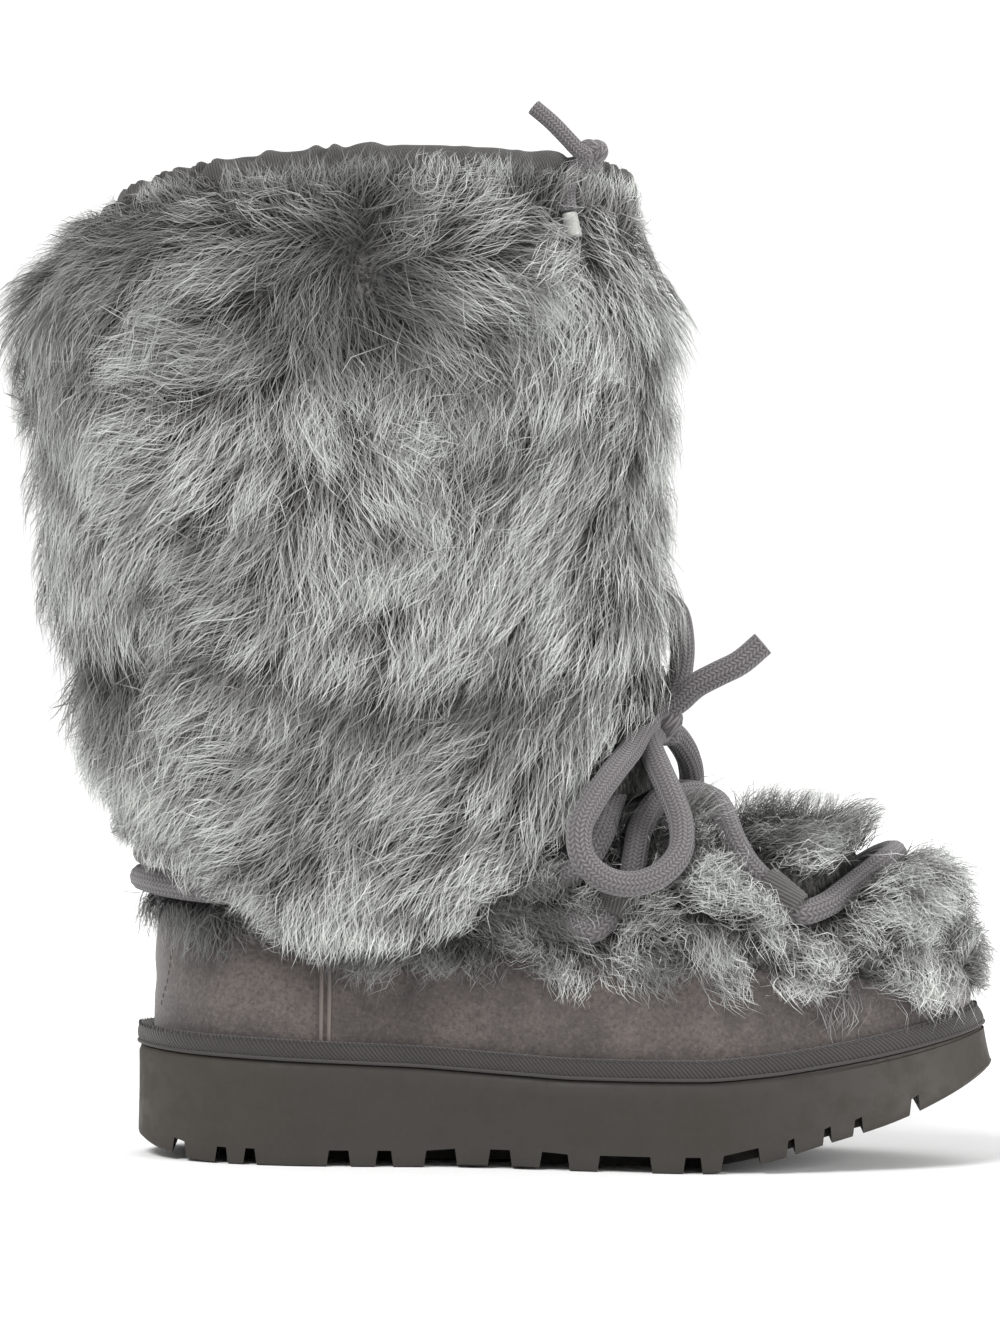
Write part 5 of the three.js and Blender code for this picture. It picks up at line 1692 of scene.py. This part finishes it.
def coat(skin, spec, rng):
    """Strands in tufts over a skin: their station points, normals and tones, and where they are round it.

    The spec's numbers are in millimetres and degrees. Its functions give, at places on the skin, the way the
    coat lies (nap), how deep strands are rooted (depth), how long they may be (room), how far they may
    stand up (proud) and how much paler or darker they are, as painted light and shade (light_and_shade).
    """
    tuft_u, tuft_t = skin.spaced(spec["spacing"], rng)
    tuft_point = skin.at(tuft_u, tuft_t)[0]
    tufts = len(tuft_u)
    nap = spec["nap"](tuft_point, rng)
    tuft_length = spec["length"] * rng.uniform(*TUFT_LENGTHS, tufts)
    own_tone = rng.normal(spec["tone"], spec["tone_spread"], tufts)
    tuft_tone = np.clip(own_tone + 0.3 * swirl(tuft_point, 21, 60), 0, 1)
    tuft_lean = np.radians(spec["lean"] + rng.normal(0, spec["lean_spread"], tufts))
    tuft_phase = 2 * np.pi * 1.4 * swirl(tuft_point, 17, 38) + rng.normal(0, 0.5, tufts)

    count = spec["count"]
    mine = rng.integers(0, tufts, count)
    radius = spec["spacing"] * spec["lap"] * np.sqrt(rng.random(count))
    angle = rng.uniform(0, 2 * np.pi, count)
    round_way, rise_way = skin.at(tuft_u[mine], tuft_t[mine])[2:]
    offset_u = radius * np.cos(angle) / np.linalg.norm(round_way, axis=1)
    offset_t = radius * np.sin(angle) / np.linalg.norm(rise_way, axis=1)
    u, t = (tuft_u[mine] + offset_u) % 1, np.clip(tuft_t[mine] + offset_t, 0, 1)
    surface, normal, _, _ = skin.at(u, t)
    lock = rng.integers(0, LOCKS, count)
    lock_angle = (tuft_phase[mine] + lock * 2.4 + 0.5 * np.sin(mine * 1.7)) % (2 * np.pi)
    lock_out = spec["spacing"] * 0.42
    across = unit(np.cross(normal, nap[mine]))
    forward = unit(np.cross(across, normal))
    swung = rng.random(count) < STRAYS
    swing = np.where(swung, rng.normal(0, 0.4, count), rng.normal(0, 0.1, count))[:, None]
    cos, sin = np.cos(swing), np.sin(swing)
    forward, across = forward * cos + across * sin, across * cos - forward * sin
    lock_way = np.cos(lock_angle)[:, None] * across + np.sin(lock_angle)[:, None] * forward
    aim_point = tuft_point[mine] + lock_out * lock_way
    stray = rng.random(count) < STRAYS
    gather = np.where(stray, 0.1, rng.uniform(0.3, 0.85, count)) * spec["clump"]
    thick = np.where(stray, 0.6, 1.0) * rng.uniform(0.7, 1.3, count)
    length = tuft_length[mine] * rng.uniform(*STRAND_LENGTHS, count) * np.where(stray, 1.15, 1)
    length *= 1 - 0.12 * (lock % 2)
    lean = tuft_lean[mine] + np.where(stray, rng.normal(0, 0.22, count), rng.normal(0, 0.07, count))
    room = spec["room"](surface, t)
    length = np.minimum(length, np.maximum(room, 7))
    lift = tier_lift(surface[:, 0], surface[:, 2]) * spec["tiers"]
    # Painted shade from the tier creases and the patch high on the back.
    dark = tier_shade(surface[:, 0], surface[:, 2]) * spec["tiers"]
    depth = spec["depth"](surface, u, t)
    root = surface - normal * (depth - lift)[:, None]
    s = spec["stations"][None, :, None]
    rise = (length * np.cos(lean))[:, None, None]
    run = (length * np.sin(lean))[:, None, None]
    curl = spec["curl"] * rng.uniform(0.5, 1.3, count)[:, None, None]
    phase = (tuft_phase[mine] + lock * 1.3 + rng.normal(0, 0.35, count))[:, None, None]
    wave = np.sin(phase + s * spec["curls"] * 2 * np.pi) - np.sin(phase)
    n, f, a = normal[:, None, :], forward[:, None, :], across[:, None, :]
    drawn = (aim_point - surface)[:, None, :]
    drawn = drawn - n * (drawn * n).sum(-1, keepdims=True)
    sag = (run * s) ** 2 / (2 * spec["bend"])
    stations = root[:, None, :] + f * run * s**1.2 + n * (rise * (1.35 * s - 0.35 * s**2) - sag)
    stations = stations + drawn * (gather[:, None, None] * smooth(0.05, 1, s)) + a * curl * wave * s
    stations = stations + n * curl * 0.5 * np.cos(phase + s * 5) * s
    height = ((stations - surface[:, None, :]) * n).sum(-1, keepdims=True)
    limit = (spec["proud"](surface) * rng.uniform(0.5, 1.2, count))[:, None, None]
    stations = stations + n * np.where(height > 0, limit * np.tanh(height / limit) - height, 0)
    tone = np.clip(rng.normal(0.34, 0.3, count), 0, 1)
    # Tufts are darkened by that painted shade, and paled or darkened by the spec's painted light and shade.
    tuft = np.clip(tuft_tone[mine] - 0.75 * dark + spec["light_and_shade"](surface) + rng.normal(0, 0.07, count), 0, 1)
    return {"stations": stations, "normal": normal, "tone": tone, "tuft": tuft, "thick": thick, "u": u}


PARTED_FROM = 150  # in front of this the coat is parted over the lace
PARTED_ABOVE = 284  # and above this, over the drawcord
DRAPED_FROM, DRAPED_TO = 34, 141  # between these it hangs down over the lace
PARTING_REACH = 18  # how far over a rope a strand is still parted


def clear_of_ropes(fur, inside, parting, rng):
    """The fur without the strands that run through a rope.

    In front, those over the lace are parted too. Behind, those near the lace are draped over it.
    """
    points, tree = rope_samples()
    stations, normal = fur["stations"], fur["normal"]
    at = stations[:, 0, 0]
    front = (at > PARTED_FROM) | (stations[:, 0, 2] > PARTED_ABOVE)
    draped = (at > DRAPED_FROM) & (at < DRAPED_TO)
    kept = np.ones(len(stations), bool)
    part = (parting * rng.uniform(0.5, 1.2, len(stations))) ** 2
    out = inside * rng.uniform(1.0, 1.25, len(stations))
    for k in range(1, stations.shape[1]):
        for i in np.flatnonzero(kept):
            place = stations[i, k]
            _, nearest, distance = tree.find(place)
            if distance > PARTING_REACH:
                continue
            away = place - points[nearest]
            height = away @ normal[i]
            if distance < inside:
                if draped[i] and height > -2:
                    stations[i, k] = points[nearest] + unit(away + normal[i] * 2) * out[i]
                else:
                    kept[i] = False
            elif front[i] and height > 0 and distance**2 - height**2 < part[i]:
                kept[i] = False
    return {key: value[kept] for key, value in fur.items()}


def strand_piece(name, fur, width, along, rng):
    """Flat tapering strands through their stations: two points at each station and one at the tip."""
    stations, normal = fur["stations"], fur["normal"]
    widths = strand_widths(along)
    count, pairs = len(stations), len(widths)
    corners = 2 * pairs + 1
    tangent = unit(np.gradient(stations, axis=1))
    roll = rng.normal(0, 0.55, count)[:, None, None]
    side = unit(np.cross(tangent, np.broadcast_to(normal[:, None, :], stations.shape)))
    edge_on = unit(np.cross(side, tangent))
    side = (side * np.cos(roll) + edge_on * np.sin(roll))[:, :pairs]
    half = (width * 0.5 * fur["thick"])[:, None] * widths
    left = stations[:, :pairs] - side * half[..., None]
    right = stations[:, :pairs] + side * half[..., None]
    points = np.concatenate([np.stack([left, right], 2).reshape(count, -1, 3), stations[:, -1:]], 1)
    base = (np.arange(count) * corners)[:, None]
    quads = np.concatenate([base + [2 * k, 2 * k + 1, 2 * k + 3, 2 * k + 2] for k in range(pairs - 1)])
    tips = base + [corners - 3, corners - 2, corners - 1]
    piece = mesh_piece(name, placed(points.reshape(-1, 3)), [quads, tips])
    colour = np.ones((count, corners, 4))
    colour[..., 0] = [*np.repeat(along[:-1], 2), 1.0]
    colour[..., 1] = fur["tone"][:, None]
    colour[..., 2] = fur["tuft"][:, None]
    write_attribute(piece, "coat", "FLOAT_COLOR", colour.reshape(-1, 4))
    return piece


def make_strands(fur, parts, width, stations, rng):
    """One piece for each named part of the fur."""
    for name, chosen in parts.items():
        mine = {key: value[chosen] for key, value in fur.items()}
        strands = strand_piece(name, mine, width, stations, rng)
        finish_piece(strands, bpy.data.materials.get("fur_strands") or fur_material())


def nearest_rope(skin_points, normal, depth):
    """How near a rope comes to the line from each point down to some depth."""
    _, tree = rope_samples()
    near = np.full(len(skin_points), 99.0)
    for share in (0.0, 0.3, 0.6, 1.0):
        at = skin_points - normal * (depth * share)[:, None]
        near = np.minimum(near, [tree.find(p)[2] for p in at])
    return near


def make_foot_fur():
    settings = bpy.context.scene.boot_fur
    rng = np.random.default_rng(settings.seed)
    skin = Skin(foot_fur_surface)
    around, rows = 240, 15
    u = np.repeat(around_places(around)[None], rows, 0)
    t = np.repeat(np.linspace(0, 1, rows)[:, None], around, 1)
    point, normal, _, _ = skin.at(u.ravel(), t.ravel())
    level = foot_fur_level(u.ravel(), t.ravel())
    base = last(level, u.ravel())
    deep = np.linalg.norm(point - base, axis=1)
    near = nearest_rope(point, normal, deep)
    stand = np.maximum(1.2, (deep - 5) * 0.55)
    stand = mix(1.2, stand, smooth(6, 13, near))
    stand *= smooth(-0.02, 0.1, t.ravel()) * smooth(1.02, 0.9, t.ravel()) * 0.8 + 0.2
    way = unit(point - base)
    outer = (base + way * (GAP + stand)[:, None]).reshape(rows, around, 3)
    inner = (base - last_normal(level, u.ravel()) * 1.5).reshape(rows, around, 3)[::-1][[0, 7, -1]]
    under = ring_piece("foot_undercoat", np.concatenate([outer, inner]))
    finish_piece(under, undercoat_material(), ["foot_fur"])

    def depth(surface, u, t):
        return np.minimum(pile(foot_fur_level(u, t), u), 12) * 0.85 + 0.5

    def shadow(surface):
        """Painted shade where the coat comes out from under the shaft, and darker patches on the toe."""
        x, z = surface[:, 0], surface[:, 2]
        under_hem = (1 - smooth(150, 180, x)) * smooth(66, 88, z)
        return -0.4 * under_hem - 0.35 * np.clip(swirl(surface, 12, 45), 0, 1)

    spec = {
        "spacing": settings.foot_spacing / MM, "lap": 1.25, "stations": FOOT_STATIONS,
        "length": settings.foot_length / MM, "count": settings.foot_count,
        "lean": 50, "lean_spread": 15, "clump": 0.8, "curl": 3.6, "curls": 1.1, "bend": 40,
        "tiers": 0.0, "tone": 0.8, "tone_spread": 0.17, "nap": foot_nap, "depth": depth, "light_and_shade": shadow,
        "room": lambda surface, t: np.full(len(t), 32.0),
        "proud": lambda surface: np.full(len(surface), 8.0),
    }
    fur = clear_of_ropes(coat(skin, spec, rng), inside=4.6, parting=6.0, rng=rng)
    front = front_share(fur["u"]) > 0.5
    parts = {"foot_fur_back": ~front, "foot_fur_front": front}
    make_strands(fur, parts, settings.foot_width / MM, FOOT_STATIONS, rng)


def hem_height(point):
    return HEM("z", point[:, 0])


def make_shaft():
    settings = bpy.context.scene.boot_fur
    rng = np.random.default_rng(settings.seed + 1)
    skin = Skin(shaft_fur_surface)
    around, rows = 300, 40
    places = around_places(around)
    outer = []
    for t in np.linspace(0.045, 1, rows):
        point, normal, _, _ = skin.at(places, np.full(around, t))
        level = level_at(point[:, 2], places, JOINT, CASING_FOOT)
        own = np.maximum(pile(level, places), 4)
        inward = np.minimum(9.0, own - 2.5) - tier_lift(point[:, 0], point[:, 2])
        lumps = 0.9 * swirl(point, 31, 22)
        outer.append(point - normal * (np.maximum(inward, 0.5) + lumps)[:, None])
    casing = last(CASING_FOOT, places)[:, 2]
    outer[-1][:, 2] = casing
    joint = last(JOINT, places)
    way = flat_normal(np.full(around, JOINT + 1.0), places)
    hem = outer[0][:, 2]

    def under(z, out):
        point = joint + way * out
        point[:, 2] = z
        return point

    upper_levels = np.linspace(JOINT, CASING_FOOT, 14)
    inside = [off_last(np.full(around, level), places, -SHAFT_WALL) for level in upper_levels]
    inside[0][:, 2] = joint[:, 2] + GAP
    inside[-1][:, 2] = casing
    bottom = [
        under(joint[:, 2] + GAP, 0),
        under(joint[:, 2] + 6, HEM_INSIDE - 2.5),
        under(hem + 5, HEM_INSIDE - 2),
        under(hem, HEM_INSIDE - 0.5),
    ]
    rings = [*bottom, *outer, *inside[::-1]]
    hide = ring_piece("shaft_undercoat", rings)
    finish_piece(hide, undercoat_material(), ["shaft"])
    line_inside(hide, rings, len(bottom) + len(outer))

    def depth(surface, u, t):
        level = level_at(surface[:, 2], u, JOINT, CASING_FOOT)
        return np.minimum(np.maximum(pile(level, u), 4) * 0.6, 10.5)

    def room(surface, t):
        above_hem = surface[:, 2] - hem_height(surface)
        near_top = mix(36, 14, smooth(0.9, 1.0, t))
        below = mix(5, 13, smooth(24, 66, surface[:, 0]))
        return np.minimum(np.maximum(above_hem * 0.85 + below, 8), near_top)

    def proud(surface):
        """Less in the upper half, and least where it turns over at the front."""
        x, z = surface[:, 0], surface[:, 2]
        return mix(4.5, mix(3.0, 0.8, smooth(110, 150, x)), smooth(195, 250, z))

    def light_and_shade(surface):
        """Painted light and shade: the coat is paler down the front and at the hem, and darker under the
        collar.
        """
        x, z = surface[:, 0], surface[:, 2]
        hem = 1 - smooth(8, 48, z - hem_height(surface))
        upper = smooth(258, 300, z) * (1 - smooth(110, 150, x))
        return 0.22 * smooth(105, 160, x) + 0.2 * hem - 0.3 * upper

    spec = {
        "spacing": settings.shaft_spacing / MM, "lap": 1.35, "stations": SHAFT_STATIONS,
        "length": settings.shaft_length / MM, "count": settings.shaft_count,
        "lean": 66, "lean_spread": 8, "clump": 0.8, "curl": 3.1, "curls": 0.9, "bend": 72,
        "tiers": 1.0, "tone": 0.75, "tone_spread": 0.12, "nap": shaft_nap, "depth": depth, "light_and_shade": light_and_shade,
        "room": room, "proud": proud,
    }
    fur = clear_of_ropes(coat(skin, spec, rng), inside=4.8, parting=5.0, rng=rng)
    quarter = (fur["u"] * 4).astype(int) % 4
    labels = ("lateral_back", "lateral_front", "medial_front", "medial_back")
    parts = {f"shaft_fur_{label}": quarter == k for k, label in enumerate(labels)}
    make_strands(fur, parts, settings.shaft_width / MM, SHAFT_STATIONS, rng)


# ---------------------------------------------------------------------- operators
class BOOT_OT_stage(bpy.types.Operator):
    """Make the camera, the lights and the floor"""

    bl_idname = "boot.stage"
    bl_label = "Stage"

    def execute(self, context):
        make_stage()
        return {"FINISHED"}


class BOOT_OT_cords(bpy.types.Operator):
    """Make the bow, its knot and the drawcord"""

    bl_idname = "boot.cords"
    bl_label = "Bow and drawcord"

    def execute(self, context):
        make_cords()
        return {"FINISHED"}


class BOOT_OT_lacing(bpy.types.Operator):
    """Run the braided lace over the foot and round the heel"""

    bl_idname = "boot.lacing"
    bl_label = "Lacing"

    def execute(self, context):
        make_lacing()
        return {"FINISHED"}


class BOOT_OT_sole(bpy.types.Operator):
    """Make the lugged sole"""

    bl_idname = "boot.sole"
    bl_label = "Sole"

    def execute(self, context):
        make_sole()
        return {"FINISHED"}


class BOOT_OT_tape(bpy.types.Operator):
    """Make the webbing and stitches round the top of the sole"""

    bl_idname = "boot.tape"
    bl_label = "Tape"

    def execute(self, context):
        make_tape()
        return {"FINISHED"}


class BOOT_OT_upper(bpy.types.Operator):
    """Make the suede foot with its heel seams"""

    bl_idname = "boot.upper"
    bl_label = "Suede foot"

    def execute(self, context):
        make_upper()
        return {"FINISHED"}


class BOOT_OT_insole(bpy.types.Operator):
    """Make the wool insole"""

    bl_idname = "boot.insole"
    bl_label = "Insole"

    def execute(self, context):
        make_insole()
        return {"FINISHED"}


class BOOT_OT_foot_fur(bpy.types.Operator):
    """Make the fur on the foot"""

    bl_idname = "boot.foot_fur"
    bl_label = "Fur on the foot"

    def execute(self, context):
        make_foot_fur()
        return {"FINISHED"}


class BOOT_OT_shaft(bpy.types.Operator):
    """Make the shaft, its lining and its fur"""

    bl_idname = "boot.shaft"
    bl_label = "Shaft"

    def execute(self, context):
        make_shaft()
        return {"FINISHED"}


class BOOT_OT_collar(bpy.types.Operator):
    """Make the gathered collar casing"""

    bl_idname = "boot.collar"
    bl_label = "Collar"

    def execute(self, context):
        make_collar()
        return {"FINISHED"}


class BOOT_OT_sleeves(bpy.types.Operator):
    """Make the four webbing sleeves that hold the lace"""

    bl_idname = "boot.sleeves"
    bl_label = "Lace sleeves"

    def execute(self, context):
        make_sleeves()
        return {"FINISHED"}


MAKERS = (
    BOOT_OT_stage,
    BOOT_OT_cords,
    BOOT_OT_lacing,
    BOOT_OT_sole,
    BOOT_OT_tape,
    BOOT_OT_upper,
    BOOT_OT_insole,
    BOOT_OT_foot_fur,
    BOOT_OT_shaft,
    BOOT_OT_collar,
    BOOT_OT_sleeves,
)


class BOOT_PT_panel(bpy.types.Panel):
    """Lists what makes the boot"""

    bl_idname = "BOOT_PT_panel"
    bl_label = "Sheepskin boot"
    bl_space_type = "VIEW_3D"
    bl_region_type = "UI"
    bl_category = "Boot"

    def draw(self, context):
        for maker in MAKERS:
            self.layout.operator(maker.bl_idname)
        for group in (context.scene.boot_colours, context.scene.boot_fur, context.scene.boot_stage):
            box = self.layout.box()
            for name in group.__annotations__:
                box.prop(group, name)


SETTINGS = {"boot_colours": BootColours, "boot_fur": BootFur, "boot_stage": BootStage}


def register():
    for cls in (*SETTINGS.values(), *MAKERS, BOOT_PT_panel):
        bpy.utils.register_class(cls)
    for name, group in SETTINGS.items():
        setattr(bpy.types.Scene, name, bpy.props.PointerProperty(type=group))


def unregister():
    for name in SETTINGS:
        delattr(bpy.types.Scene, name)
    for cls in reversed((*SETTINGS.values(), *MAKERS, BOOT_PT_panel)):
        bpy.utils.unregister_class(cls)


def main():
    register()
    for maker in MAKERS:
        group, name = maker.bl_idname.split(".")
        getattr(getattr(bpy.ops, group), name)()


if __name__ == "__main__":
    main()
